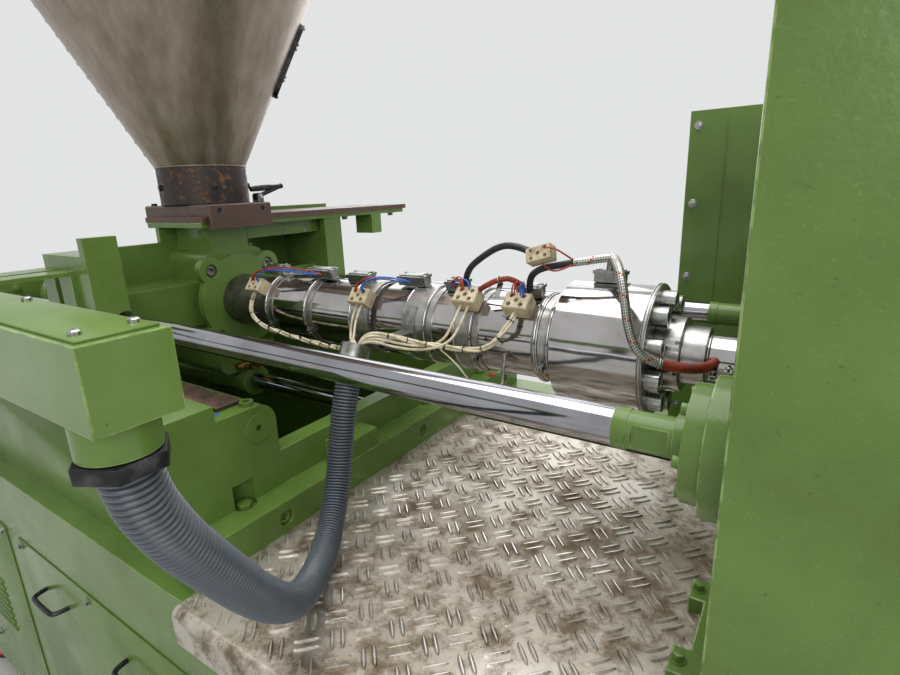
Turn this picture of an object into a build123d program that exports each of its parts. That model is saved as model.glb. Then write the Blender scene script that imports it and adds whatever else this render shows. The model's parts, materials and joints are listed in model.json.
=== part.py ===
"""Injection unit of an injection moulding machine on its bed, up to the fixed platen.

Millimetres. X runs along the barrel towards the nozzle, Y across the machine and Z up from the floor.
The pieces are placed from the guide rods' seats on the platen (x = 0) and the barrel's centre plane (y = 0).
"""
from build123d import *
from math import atan2, cos, degrees, radians, sin, tan
import os

os.makedirs("parts", exist_ok=True)

# Overall layout
REAR_X = -2240.0
DECK_Z = 895.0
AXIS_Z = 1214.5
SEAT_GAP = 0.3
RUNNING_GAP = 0.05
CLEARANCE = 8.0

# Fixed platen
PLATEN_X = 25.0
PLATEN_T = 240.0
PLATEN_HALF_W = 442.0
PLATEN_BELOW_AXIS = 390.0
PLATEN_ABOVE_AXIS = 420.0
PLATEN_CORNER_R = 45.0
PLATEN_PAD_R = 75.0
NOZZLE_CAVITY_R = 150.0
NOZZLE_CAVITY_DEPTH = 150.0
LOCATING_R = 62.5
LOCATING_DEPTH = 20.0
NOZZLE_HOLE_R = 46.5
TIE_BAR_SPACING_Y = 615.0
TIE_BAR_SPACING_Z = 470.0
TIE_BAR_HOLE_R = 45.0
FOOT_X = -2.0
FOOT_H = 25.0
FOOT_HALF_W = 400.0
LUG_LENGTH = 20.0
LUG_W = 44.0
LUG_YS = (-309.0, -172.0, 172.0, 309.0)
PLATEN_BEAM_DEPTH = 160.0

# Bed
BED_MARGIN = 118.0
BED_BASE_Z = 110.0
BED_WALL_T = 20.0
BED_FOOT_W = 150.0
BED_FLANGE_UNDER_BASE = 119.0
TRAY_T = 6.0
DECK_WEB_T = 12.0
DECK_WEB_DEPTH = 180.0
DECK_WEB_FLANGE_W = 60.0

# Levelling mounts
MOUNT_D = 160.0
MOUNT_PAD_T = 22.0
MOUNT_CAP_H = 52.0
MOUNT_WASHER_R = 32.0
MOUNT_STUD_D = 20.0
MOUNT_NUT_AF = 30.0
MOUNT_NUT_H = 16.0
MOUNT_HOLE_D = 22.0
MOUNT_STUD_ABOVE = 55.0
MOUNT_INSET_Y = 80.0
MOUNT_XS = (-2100.0, -1000.0, 140.0)

# Tread plate
TREAD_T = 5.0
TREAD_FAR_Y = 236.0
TREAD_BEND_R = 14.0
TREAD_LIP_H = 60.0
TREAD_OVERHANG = 20.0

# Cross-beam
BEAM_FRONT_X = -658.0
LEDGE_W = 54.0
LEDGE_Z = DECK_Z + 64.0
BACK_WALL_W = 41.0
BACK_WALL_Z = DECK_Z + 132.0
BEAM_BOTTOM_Z = DECK_Z - 38.0
SCALLOP_R = 21.0
SCALLOP_DEPTH = 24.0
SCALLOP_FLOOR_DROP = 6.0
SCALLOP_YS = (-402.0, 137.0, 402.0)
POCKET_H = 44.0
SOCKET_D = 29.0
SOCKET_DEPTH = 18.0
SOCKET_HEAD_BACK = 5.0
SOCKET_HEAD_GAP = 2.0
SOCKET_HEX_DEPTH = 7.0
SOCKET_YS = (-361.0, 49.0, 459.0)
SOCKET_Z = DECK_Z + 33.0
BEAM_BOLT_AF = 24.0
BEAM_BOLT_H = 10.0
TAB_Y = (-206.0, -106.0)
TAB_W = 50.0
TAB_H = 41.0
TAB_CORNER_R = 6.0

# Slide bases and slideways
BASE_W = 205.0
BASE_TOP_Z = DECK_Z + 233.0
BASE_OUTSIDE_ROD = 1.0
BASE_CORNER_R = 36.0
SIDE_RAIL_W = 89.0
SIDE_RAIL_H = 28.0
FACE_BOSS_R = 26.0
FACE_BOSS_T = 2.0
FACE_BOSS_Y = -355.0
FACE_BOSS_Z = BASE_TOP_Z - 40.0
FACE_HOLE_R = 6.0
PLUG_R = 12.0
PLUG_H = 8.0
PLUG_X = -732.0
PLUG_Y = -359.0
PLUG_BORE_R = 7.0
WAY_W = 50.0
WAY_OUTSIDE_ROD = 66.0
WAY_T = 8.0
WAY_X = (-2115.0, -748.0)
REAR_TIE_X = -2180.0
REAR_TIE_W = 100.0
REAR_TIE_H = 60.0
REAR_TIE_T = 12.0

# Guide rods
ROD_D = 45.0
ROD_Y = 316.0
ROD_REAR_X = -2190.0
ROD_END_X = -98.0
ROD_SHOULDER_L = 16.0
ROD_SHOULDER_RISE = 1.5
FLAT_START = 22.0
FLAT_LENGTH = 38.0
FLAT_DEPTH = 4.5
ROD_NECK_D = 56.0
ROD_NECK_L = 14.0
ROD_FLANGE_D = 128.0
ROD_FLANGE_T = 19.0
BRACKET_L = 60.0
BRACKET_WALL = 30.0
BRACKET_OUT_Y = 420.0
BUSH_WALL = 7.0

# Guard panel on the far side
GUARD_X = (-198.0, 225.0)
GUARD_GAP = 53.0
GUARD_TOP_Z = 1631.0
GUARD_DEPTH = 30.0
GUARD_T = 3.0

# Barrel and its heaters
BARREL_R = 67.5
BAND_R = 77.0
RING_R = 81.0
HEAD_R = 95.0
HEAD_BAND_R = 106.0
END_RING_R = 109.0
END_RING_T = 7.5
HEAD_X = -274.0
HEAD_END_X = -124.5
BAND_SPANS = ((-1014.0, -892.0), (-879.0, -684.0), (-670.5, -601.5), (-542.0, -480.0), (-437.0, -318.0))
RING_SPANS = ((-1027.5, -1014.0), (-892.0, -879.0), (-684.0, -670.5), (-601.5, -542.0), (-480.0, -437.0),
              (-318.0, -306.0), (-294.0, -282.0))
SCREW_COUNT = 10
SCREW_CIRCLE_R = 84.0
SCREW_HEAD_R = 16.5
SCREW_HEAD_H = 22.0
SCREW_SOCKET_AF = 17.0
SCREW_SOCKET_DEPTH = 12.0
ADAPTER_FLANGE_R = 60.0
ADAPTER_FLANGE_END = -84.0
ADAPTER_R = 46.5
ADAPTER_END = -49.5
NOZZLE_R = 24.0
NOZZLE_TIP_X = 65.0
NOZZLE_TIP_R = 15.0
NOZZLE_HEATER_R = 37.5
NOZZLE_HEATER_END = -4.5

# Feed housing
FACE_X = -1211.0
FACE_FLANGE_T = 22.0
FACE_FLANGE_R = 124.0
LOBE_R = 34.5
LOBE_CIRCLE_R = 123.0
LOBE_BORE_R = 17.0
LOBE_BORE_DEPTH = 16.0
HOUSING_LENGTH = 248.0
HOUSING_HALF_W = 90.0
HOUSING_BELOW = 204.5
HOUSING_ABOVE = 135.5
HOUSING_CORNER_R = 30.0
NECK_HALF_W = 60.0
NECK_HALF_L = 70.0
NECK_NEAR_Y = -82.0
NECK_FAR_Y = 47.0
NECK_SHOULDER_Z = AXIS_Z + 180.5
NECK_STEP_Z = AXIS_Z + 148.5
ARM_SETBACK = 30.0
ARM_LENGTH = 151.0
ARM_H = 112.0
ARM_OUT_Y = 375.0
SHOE_T = 36.0
ARM_BOSS_REACH = 15.0
ARM_BOSS_WALL = 19.5
CHEEK_T = 70.0
CHEEK_X = -1200.0
CHEEK_LIP_T = 22.0
BACK_PLATE_T = 20.0
THROAT_R = 34.0
SHANK_R = 36.0

# Carriage cylinder, whose rod is fixed to the cross-beam
CYL_Z = AXIS_Z - 236.5
CYL_R = 41.0
CYL_BORE_R = 32.0
CYL_ROD_R = 22.5
CYL_LENGTH = 370.0
CYL_END_T = 30.0
PISTON_L = 40.0
PISTON_BACK = 88.0
ROD_COLLAR_R = 24.5
ROD_COLLAR_L = 15.0

# Injection drive
DRIVE_CYL_R = 66.0
DRIVE_CYL_CAP_RISE = 6.0
DRIVE_CYL_CAP_L = 30.0
DRIVE_CYL_Y = 200.0
DRIVE_CYL_L = 390.0
DRIVE_ROD_R = 30.0
DRIVE_PLATE_X = -1920.0
DRIVE_PLATE_T = 98.0
DRIVE_PLATE_HALF_H = 70.0
DRIVE_PLATE_OUTSIDE_ROD = 67.0
DRIVE_PLATE_CORNER_R = 45.0
GEARBOX_R = 79.0
GEARBOX_L = 45.0
MOTOR_R = 60.0
MOTOR_L = 112.0

# Hopper rail and the beam that carries it
SLIDE_FRONT_X = -1174.0
SLIDE_LENGTH = 300.0
RAIL_SIDE_INSET = 16.5
RAIL_TOP_Z = AXIS_Z + 223.5
RAIL_T = 14.0
RAIL_NEAR_Y = -105.0
RAIL_FAR_Y = 700.0
BEAM_PLATE_T = 13.0
BEAM_PLATE_INSET = 6.0
BEAM_WEB_T = 15.0
BEAM_WEB_SETBACK = 36.0
BEAM_WEB_DEPTH = 39.0
BEAM_END_SHORT = 10.0
HANGER_Y = (520.0, 567.0)
HANGER_L = 76.0
HANGER_DEPTH = 63.0
SIDE_BAR_Y = (131.0, 587.0)
SIDE_BAR_T = 20.0
SIDE_BAR_TOP_Z = RAIL_TOP_Z + 12.0
SIDE_BAR_H = 60.0
SIDE_BAR_ARM_Z = RAIL_TOP_Z - 53.0
SIDE_BAR_ARM_T = 14.0

# Hopper slide
SLIDE_HALF_W = 91.5
SLIDE_BOTTOM_Z = RAIL_TOP_Z - 29.0
SLIDE_TOP_Z = RAIL_TOP_Z + 30.0
SLIDE_EDGE_R = 3.0
SLIDE_BORE_R = 7.5
SLIDE_BORE_DEPTH = 6.0
SLIDE_BORE_Y = 64.0
SLIDE_BORE_DROP = 16.0

# Hopper
HOPPER_BASE_R = 111.0
HOPPER_BASE_H = 94.5
HOPPER_CONE_H = 432.0
HOPPER_TOP_R = 336.0
HOPPER_DRUM_H = 160.0
HOPPER_WALL = 3.0
LID_T = 10.0
LID_RIM = 6.0
GLASS_AZIMUTH = 55.0
GLASS_Z = (SLIDE_TOP_Z + 274.0, SLIDE_TOP_Z + 457.0)
GLASS_W = 60.0
GLASS_PROUD = 10.0
GLASS_RIM = 12.0
GLASS_RECESS = 4.0

# Locking lever on top of the hopper slide
LEVER_X = -1194.0
LEVER_Y = 69.0
LEVER_PIVOT_H = 15.0
LEVER_ARM = 84.0
LEVER_RISE = 18.0
LEVER_GRIP = 100.0
LEVER_DIP = 4.0
LEVER_R = 5.5
LEVER_ELBOW_R = 7.0
LEVER_EYE_R = 9.0
LEVER_EYE_W = 14.0
LEVER_PIN_R = 3.75
LEVER_EAR_T = 4.5
LEVER_SIDE_GAP = 0.5
LEVER_FLOOR_T = 3.0

# Terminal boxes and connector blocks along the barrel, by station
BOX_SPANS = ((-1080.0, 69.0), (-921.0, 79.0), (-789.0, 62.0), (-644.0, 67.5), (-525.0, 45.0), (-372.0, 49.5))
BOX_W = 33.0
BOX_H = 20.0
BOX_LIP = 2.0
BOX_LID_H = 6.0
BOX_ANGLE = 98.0
HEAD_BOX = (-237.0, 52.5)
HEAD_BOX_ANGLE = 84.0
BLOCK_PLACES = ((-1070.0, 143.0), (-732.0, 143.0), (-476.0, 131.0), (-374.0, 131.0))
BLOCK_L = 48.0
BLOCK_W = 34.0
BLOCK_T = 28.0
BLOCK_HOLE_R = 3.6
BLOCK_HOLE_DEPTH = 8.0
BLOCK_HOLE_SPREAD = 9.0
BLOCK_HOLE_SPREAD_X = 11.7
BLOCK_CHAMFER = 2.0

# Corrugated hose for the heater leads: from the lead duct down to the deck and up beside the barrel
HOSE_R = 22.5
HOSE_ROUTE = (
    (-326.0, -728.0, 1340.0), (-326.0, -728.0, 1285.0), (-333.0, -703.0, 1222.0), (-347.0, -665.0, 1160.0),
    (-362.0, -629.0, 1102.0), (-386.0, -588.0, 1046.0), (-420.0, -541.0, 994.0), (-460.0, -492.0, 952.0),
    (-499.0, -440.0, 925.0), (-534.0, -386.0, 923.0), (-563.0, -338.0, 945.0), (-583.0, -300.0, 993.0),
    (-590.0, -280.0, 1050.0), (-591.0, -264.0, 1110.0), (-595.0, -241.0, 1165.0), (-600.0, -214.0, 1208.0))
DUCT_HALF = 30.0
DUCT_WALL = 3.0
DUCT_FRONT_X = -285.0
DUCT_ARM_T = 10.0
DUCT_ARM_W = 60.0
DUCT_ARM_XS = (-1410.0, -1325.0)
DUCT_ARM_DROP = 160.0
GLAND_WALL = 6.0
GLAND_L = 28.0
FERRULE_WALL = 5.0
FERRULE_BACK = 20.0
FERRULE_AHEAD = 8.0
CLIP_X = (-597.0, -567.0)
CLIP_T = 4.0
CLIP_HALF_H = 48.0

# Tied leads and the braided conduit, which the barrel carries
LEAD_R = 6.5
LEFT_LEADS = (
    (-1046.0, -86.6, 1258.0), (-1046.0, -106.0, 1232.3), (-1016.0, -117.0, 1193.0), (-930.0, -112.0, 1176.0),
    (-815.0, -116.0, 1168.0), (-722.0, -134.0, 1173.0), (-655.0, -172.0, 1196.0), (-614.0, -202.0, 1226.0),
    (-607.0, -210.0, 1213.0))
RIGHT_LEADS = (
    (-350.0, -72.9, 1272.1), (-350.0, -95.6, 1252.4), (-386.0, -116.0, 1208.0), (-455.0, -120.0, 1207.0),
    (-520.0, -142.0, 1214.0), (-565.0, -176.0, 1234.0), (-592.0, -199.0, 1232.0), (-594.0, -207.0, 1215.0))
CONDUIT_R = 7.0
CONDUIT = (
    (-212.0, 6.0, 1341.2), (-212.0, 8.5, 1365.1), (-176.0, -78.0, 1368.0), (-155.0, -112.0, 1332.0),
    (-144.0, -120.0, 1276.0), (-126.0, -119.0, 1238.0), (-88.0, -100.0, 1222.0), (-38.0, -78.0, 1219.0),
    (-38.0, -37.7, 1219.0))

# Places worked out from the sizes above
bed_half_w = PLATEN_HALF_W + BED_MARGIN
inner_y = bed_half_w - BED_WALL_T
front_x = PLATEN_X + PLATEN_T + BED_WALL_T
base_in_y = ROD_Y + BASE_OUTSIDE_ROD
base_out_y = base_in_y + BASE_W
flange_in_y = base_out_y - BED_FLANGE_UNDER_BASE
way_in_y = ROD_Y + WAY_OUTSIDE_ROD - WAY_W / 2
way_out_y = way_in_y + WAY_W
way_z = BASE_TOP_Z + WAY_T
beam_step_x = BEAM_FRONT_X - LEDGE_W
beam_rear_x = beam_step_x - BACK_WALL_W
scallop_x = beam_step_x - SCALLOP_DEPTH + SCALLOP_R
pocket_top_z = LEDGE_Z + POCKET_H
tread_top_z = DECK_Z + TREAD_T
platen_z0 = AXIS_Z - PLATEN_BELOW_AXIS
flange_x = FACE_X - FACE_FLANGE_T
housing_rear_x = flange_x - HOUSING_LENGTH
arm_x1 = flange_x - ARM_SETBACK
arm_x0 = arm_x1 - ARM_LENGTH
throat_x = SLIDE_FRONT_X - SLIDE_LENGTH / 2
rail_x0 = SLIDE_FRONT_X - SLIDE_LENGTH + RAIL_SIDE_INSET
rail_x1 = SLIDE_FRONT_X - RAIL_SIDE_INSET
rail_z0 = RAIL_TOP_Z - RAIL_T
plate_z0 = rail_z0 - BEAM_PLATE_T
web_z0 = plate_z0 - BEAM_WEB_DEPTH
bush_r = ROD_D / 2 + BUSH_WALL
duct_y, duct_z = HOSE_ROUTE[0][1], HOSE_ROUTE[0][2] + DUCT_HALF
MID_X = (REAR_X + front_x) / 2
MID_Y = (duct_y - DUCT_HALF + RAIL_FAR_Y) / 2


def write(shape, name):
    """Moves a finished piece so that the origin is on the floor below the middle, and writes it."""
    export_step(Pos(-MID_X, -MID_Y, 0) * shape, f"parts/{name}.step")


def box(x0, x1, y0, y1, z0, z1):
    return Pos((x0 + x1) / 2, (y0 + y1) / 2, (z0 + z1) / 2) * Box(x1 - x0, y1 - y0, z1 - z0)


def rod_x(radius, x0, x1, y=0.0, z=AXIS_Z):
    """Round bar along X between two stations."""
    return Pos((x0 + x1) / 2, y, z) * Rot(0, 90, 0) * Cylinder(radius, x1 - x0)


def rod_z(radius, z0, z1, x, y):
    return Pos(x, y, (z0 + z1) / 2) * Cylinder(radius, z1 - z0)


def ring_x(outer, inner, x0, x1, y=0.0, z=AXIS_Z):
    return rod_x(outer, x0, x1, y, z) - rod_x(inner, x0 - 1, x1 + 1, y, z)


def rod_between(start, end, radius):
    """Round bar between two points."""
    along = Vector(*end) - Vector(*start)
    return extrude(Plane(origin=start, z_dir=along) * Circle(radius), along.length)


def mirror_y(shape):
    return mirror(shape, about=Plane.XZ)


def both_sides(shape):
    """A near-side piece and its mirror image on the far side, as one node."""
    return Compound([shape, mirror_y(shape)])


def extrude_x(points, x0, x1):
    """Extrudes a closed outline, given in (Y, Z), from x0 to x1."""
    outline = make_face(Polyline(*points, close=True))
    return extrude(Plane(origin=(x0, 0, 0), x_dir=(0, 1, 0), z_dir=(1, 0, 0)) * outline, x1 - x0)


def revolve_z(points, x, y=0.0):
    """Turns a closed outline, given in (radius, Z), about an upright axis."""
    return Pos(x, y, 0) * revolve(Plane.XZ * make_face(Polyline(*points, close=True)), Axis.Z)


def turn_radius(a, b, c, share=0.45):
    """Largest tangent arc that the two runs beside point b leave room for."""
    before, after = Vector(*b) - Vector(*a), Vector(*c) - Vector(*b)
    turn = before.get_angle(after)
    return share * min(before.length, after.length) / tan(radians(turn / 2))


def tube(route, radius, name):
    """Round tube along a route of straight runs joined by tangent arcs."""
    radii = [turn_radius(*route[i:i + 3]) for i in range(len(route) - 2)]
    path = FilletPolyline(*route, radius=radii)
    solid = sweep(Plane(origin=path @ 0, z_dir=path % 0) * Circle(radius), path=path)
    share = solid.volume / (3.14159265 * radius ** 2 * path.length)
    print(name, "radii", [round(r) for r in radii])
    print(name, "length", round(path.length), "volume share", round(share, 4))
    return solid


# Bed

def mount_places():
    y = bed_half_w - MOUNT_INSET_Y
    return [(x, side * y) for x in MOUNT_XS for side in (-1, 1)]


def bed_side():
    """Near side wall: a channel whose deck flange is cut back where the platen passes through."""
    outer, web = -bed_half_w, -inner_y
    wall = extrude_x([
        (outer, BED_BASE_Z), (outer + BED_FOOT_W, BED_BASE_Z), (outer + BED_FOOT_W, BED_BASE_Z + BED_WALL_T),
        (web, BED_BASE_Z + BED_WALL_T), (web, DECK_Z - BED_WALL_T), (-flange_in_y, DECK_Z - BED_WALL_T),
        (-flange_in_y, DECK_Z), (outer, DECK_Z)], REAR_X + BED_WALL_T, front_x - BED_WALL_T)
    wall -= box(PLATEN_X - CLEARANCE, front_x, -PLATEN_HALF_W - CLEARANCE, 0,
                DECK_Z - BED_WALL_T - 1, DECK_Z + 1)
    for x, y in mount_places():
        if y < 0:
            wall -= rod_z(MOUNT_HOLE_D / 2, BED_BASE_Z - 5, BED_BASE_Z + BED_WALL_T + 5, x, y)
    return wall


near_side = bed_side()
write(near_side, "bed_side_near")
write(mirror_y(near_side), "bed_side_far")
write(Compound([box(x, x + BED_WALL_T, -bed_half_w, bed_half_w, BED_BASE_Z, DECK_Z)
                for x in (REAR_X, front_x - BED_WALL_T)]), "bed_ends")

tray_y = bed_half_w - BED_FOOT_W
write(box(REAR_X + BED_WALL_T, front_x - BED_WALL_T, -tray_y, tray_y,
          BED_BASE_Z, BED_BASE_Z + TRAY_T), "bed_tray")


def levelling_mounts():
    """Round machine mounts: a rubber pad under a domed cap, and a stud with its washer and nuts."""
    caps, pads, studs = [], [], []
    top = BED_BASE_Z + BED_WALL_T + MOUNT_STUD_ABOVE
    hexagon = RegularPolygon(MOUNT_NUT_AF / 2, 6, major_radius=False)
    for x, y in mount_places():
        pads.append(revolve_z([
            (0, 0), (MOUNT_D / 2 - 8, 0), (MOUNT_D / 2 - 3, MOUNT_PAD_T), (0, MOUNT_PAD_T)], x, y))
        caps.append(revolve_z([
            (0, MOUNT_PAD_T), (MOUNT_D / 2, MOUNT_PAD_T), (MOUNT_D / 2, MOUNT_PAD_T + 10),
            (MOUNT_D / 2 - 6, MOUNT_CAP_H - 10), (MOUNT_D / 2 - 16, MOUNT_CAP_H - 3),
            (MOUNT_D / 2 - 28, MOUNT_CAP_H), (0, MOUNT_CAP_H)], x, y))
        stud = rod_z(MOUNT_WASHER_R, MOUNT_CAP_H, MOUNT_CAP_H + 4, x, y)
        stud += rod_z(MOUNT_STUD_D / 2, MOUNT_CAP_H + 4, top, x, y)
        for z in (BED_BASE_Z - MOUNT_NUT_H, BED_BASE_Z + BED_WALL_T):
            stud += Pos(x, y, z) * extrude(hexagon, MOUNT_NUT_H)
        studs.append(stud)
    write(Compound(pads), "mount_pads")
    write(Compound(caps), "mount_caps")
    write(Compound(studs), "mount_studs")


levelling_mounts()


def cross_beam():
    """Cast beam across the bed: bolt ledge with pocketed bolts, raised back wall and a stop block."""
    beam = box(beam_step_x, BEAM_FRONT_X, -inner_y, inner_y, DECK_Z, LEDGE_Z)
    beam += box(beam_rear_x, beam_step_x, -base_in_y, base_in_y, DECK_Z, BACK_WALL_Z)
    beam += box(beam_rear_x, BEAM_FRONT_X, -flange_in_y, flange_in_y, BEAM_BOTTOM_Z, DECK_Z)
    for y in SCALLOP_YS:
        beam -= rod_z(SCALLOP_R, LEDGE_Z - SCALLOP_FLOOR_DROP, BACK_WALL_Z + 1, scallop_x, y)
    for y in SOCKET_YS:
        beam -= rod_x(SOCKET_D / 2, BEAM_FRONT_X - SOCKET_DEPTH, BEAM_FRONT_X + 1, y, SOCKET_Z)
    tab = box(beam_step_x - 1, beam_step_x + TAB_W, *TAB_Y, LEDGE_Z - 1, LEDGE_Z + TAB_H)
    return beam + fillet(tab.edges().filter_by(Axis.Y).sort_by(Axis.Z)[-1], TAB_CORNER_R)


def beam_bolts():
    """Hexagon bolts in the ledge pockets and socket screws sunk in the front face."""
    bolt = extrude(RegularPolygon(BEAM_BOLT_AF / 2, 6, major_radius=False), BEAM_BOLT_H)
    bolts = [Pos(scallop_x, y, LEDGE_Z - SCALLOP_FLOOR_DROP) * bolt for y in SCALLOP_YS]
    head_x = BEAM_FRONT_X - SOCKET_HEAD_BACK
    screws = [rod_x(SOCKET_D / 2 - SOCKET_HEAD_GAP, BEAM_FRONT_X - SOCKET_DEPTH, head_x, y, SOCKET_Z)
              - rod_x(SOCKET_D / 4, head_x - SOCKET_HEX_DEPTH, head_x + 1, y, SOCKET_Z) for y in SOCKET_YS]
    return Compound(bolts + screws)


write(cross_beam(), "cross_beam")
write(beam_bolts(), "beam_bolts")


def tread_plate():
    """Deck plate whose near edge is bent down over the bed's side."""
    lip_y = -bed_half_w - TREAD_OVERHANG
    plate = extrude_x([
        (TREAD_FAR_Y, DECK_Z), (TREAD_FAR_Y, tread_top_z), (lip_y, tread_top_z),
        (lip_y, tread_top_z - TREAD_LIP_H), (lip_y + TREAD_T, tread_top_z - TREAD_LIP_H),
        (lip_y + TREAD_T, DECK_Z)], BEAM_FRONT_X, PLATEN_X)
    outer = plate.edges().filter_by(Axis.X).sort_by_distance((0, lip_y, tread_top_z))[0]
    plate = fillet(outer, TREAD_BEND_R)
    inner = plate.edges().filter_by(Axis.X).sort_by_distance((0, lip_y + TREAD_T, DECK_Z))[0]
    return fillet(inner, TREAD_BEND_R - TREAD_T)


write(tread_plate(), "tread_plate")
write(extrude_x([
    (TREAD_FAR_Y, DECK_Z), (TREAD_FAR_Y - DECK_WEB_FLANGE_W, DECK_Z),
    (TREAD_FAR_Y - DECK_WEB_FLANGE_W, DECK_Z - DECK_WEB_T), (TREAD_FAR_Y - DECK_WEB_T, DECK_Z - DECK_WEB_T),
    (TREAD_FAR_Y - DECK_WEB_T, DECK_Z - DECK_WEB_DEPTH), (TREAD_FAR_Y, DECK_Z - DECK_WEB_DEPTH)],
    BEAM_FRONT_X, PLATEN_X), "deck_web")


def slide_base():
    """Cast base on the near side, with a side rail and a plug boss on top and a tapped boss on its end."""
    x0 = REAR_X + BED_WALL_T
    body = box(x0, beam_step_x, -base_out_y, -base_in_y, DECK_Z, BASE_TOP_Z)
    corner = body.edges().filter_by(Axis.X).sort_by_distance((0, -base_in_y, BASE_TOP_Z))[0]
    body = fillet(corner, BASE_CORNER_R)
    body += rod_x(FACE_BOSS_R, beam_step_x, beam_step_x + FACE_BOSS_T, FACE_BOSS_Y, FACE_BOSS_Z)
    body -= rod_x(FACE_HOLE_R, beam_step_x - BASE_CORNER_R / 3, beam_step_x + FACE_BOSS_T + 1,
                  FACE_BOSS_Y, FACE_BOSS_Z)
    body += rod_z(PLUG_R, BASE_TOP_Z - BASE_CORNER_R / 3, BASE_TOP_Z + PLUG_H, PLUG_X, PLUG_Y)
    body -= rod_z(PLUG_BORE_R, BASE_TOP_Z, BASE_TOP_Z + PLUG_H + 1, PLUG_X, PLUG_Y)
    body -= rod_z(SCALLOP_R, LEDGE_Z - SCALLOP_FLOOR_DROP, pocket_top_z, scallop_x, SCALLOP_YS[0])
    rail = box(x0, beam_step_x, -base_out_y, SIDE_RAIL_W - base_out_y, BASE_TOP_Z, BASE_TOP_Z + SIDE_RAIL_H)
    return Compound([body, rail])


def rear_tie():
    """Inverted channel between the two slide bases at the back."""
    x0, x1 = REAR_TIE_X, REAR_TIE_X + REAR_TIE_W
    top = BASE_TOP_Z - BASE_CORNER_R
    tie = box(x0, x1, -base_in_y, base_in_y, top - REAR_TIE_H, top)
    return tie - box(x0 + REAR_TIE_T, x1 - REAR_TIE_T, -base_in_y - 1, base_in_y + 1,
                     top - REAR_TIE_H - 1, top - REAR_TIE_T)


near_base = slide_base()
write(Compound([*near_base.solids(), *mirror_y(near_base).solids()]), "slide_bases")
write(both_sides(box(*WAY_X, -way_out_y, -way_in_y, BASE_TOP_Z, way_z)), "slideways")
write(rear_tie(), "rear_tie")


# Fixed platen, guide rods and guard

def fixed_platen():
    """Platen with rod seats, nozzle cavity, locating bore, tie-bar holes and a foot with four lugs."""
    x1 = PLATEN_X + PLATEN_T
    plate = box(PLATEN_X, x1, -PLATEN_HALF_W, PLATEN_HALF_W, platen_z0, AXIS_Z + PLATEN_ABOVE_AXIS)
    plate = fillet(plate.edges().filter_by(Axis.X), PLATEN_CORNER_R)
    for y in (-ROD_Y, ROD_Y):
        plate += rod_x(PLATEN_PAD_R, 0, PLATEN_X, y)
    foot_z = tread_top_z + SEAT_GAP
    plate += box(FOOT_X, PLATEN_X, -FOOT_HALF_W, FOOT_HALF_W, foot_z, foot_z + FOOT_H)
    for y in LUG_YS:
        plate += box(FOOT_X - LUG_LENGTH, FOOT_X, y - LUG_W / 2, y + LUG_W / 2, foot_z, foot_z + FOOT_H)
    plate -= rod_x(NOZZLE_CAVITY_R, PLATEN_X - 1, PLATEN_X + NOZZLE_CAVITY_DEPTH)
    plate -= rod_x(NOZZLE_HOLE_R, PLATEN_X, x1 + 1)
    plate -= rod_x(LOCATING_R, x1 - LOCATING_DEPTH, x1 + 1)
    for y in (-TIE_BAR_SPACING_Y / 2, TIE_BAR_SPACING_Y / 2):
        for z in (AXIS_Z - TIE_BAR_SPACING_Z / 2, AXIS_Z + TIE_BAR_SPACING_Z / 2):
            plate -= rod_x(TIE_BAR_HOLE_R, -LUG_LENGTH - 5, x1 + 1, y, z)
    return plate


write(fixed_platen(), "fixed_platen")
write(box(PLATEN_X, front_x - BED_WALL_T, -inner_y, inner_y,
          platen_z0 - PLATEN_BEAM_DEPTH, platen_z0), "platen_beam")
write(both_sides(rod_x(ROD_D / 2, ROD_REAR_X, ROD_END_X, -ROD_Y)), "guide_rods")


def rod_end(y):
    """Painted end of a guide rod: shoulder, bar with a spanner flat, neck and the platen flange."""
    side = 1 if y > 0 else -1
    end = rod_x(ROD_D / 2, ROD_END_X, -ROD_FLANGE_T, y)
    end += rod_x(ROD_D / 2 + ROD_SHOULDER_RISE, ROD_END_X, ROD_END_X + ROD_SHOULDER_L, y)
    end += rod_x(ROD_NECK_D / 2, -ROD_FLANGE_T - ROD_NECK_L, -ROD_FLANGE_T, y)
    end += rod_x(ROD_FLANGE_D / 2, -ROD_FLANGE_T, 0, y)
    flat_y = sorted((y + side * (ROD_D / 2 - FLAT_DEPTH), y + side * ROD_D))
    flat_x = ROD_END_X + FLAT_START
    return end - box(flat_x, flat_x + FLAT_LENGTH, *flat_y, AXIS_Z - ROD_D, AXIS_Z + ROD_D)


def rod_bracket():
    """Rear bracket that stands on the near slide base and holds the guide rod's end."""
    half = ROD_D / 2 + BRACKET_WALL
    block = box(ROD_REAR_X, ROD_REAR_X + BRACKET_L, -BRACKET_OUT_Y, -ROD_Y + half, BASE_TOP_Z, AXIS_Z + half)
    top = block.edges().filter_by(Axis.X).sort_by(Axis.Z)[-2:]
    block = fillet(top, BRACKET_WALL)
    return block - rod_x(ROD_D / 2, ROD_REAR_X - 1, ROD_REAR_X + BRACKET_L + 1, -ROD_Y)


def guard_panel():
    """Sheet panel with returned edges that stands on the far flange of the bed."""
    x0, x1 = GUARD_X
    y0 = PLATEN_HALF_W + GUARD_GAP
    panel = box(x0, x1, y0, y0 + GUARD_DEPTH, DECK_Z, GUARD_TOP_Z)
    return panel - box(x0 + GUARD_T, x1 - GUARD_T, y0 + GUARD_T, y0 + GUARD_DEPTH + 1,
                       DECK_Z + GUARD_T, GUARD_TOP_Z - GUARD_T)


write(Compound([rod_end(-ROD_Y), rod_end(ROD_Y)]), "rod_ends")
write(both_sides(rod_bracket()), "rod_brackets")
write(guard_panel(), "guard_panel")


# Carriage: feed housing and what it slides on

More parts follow.
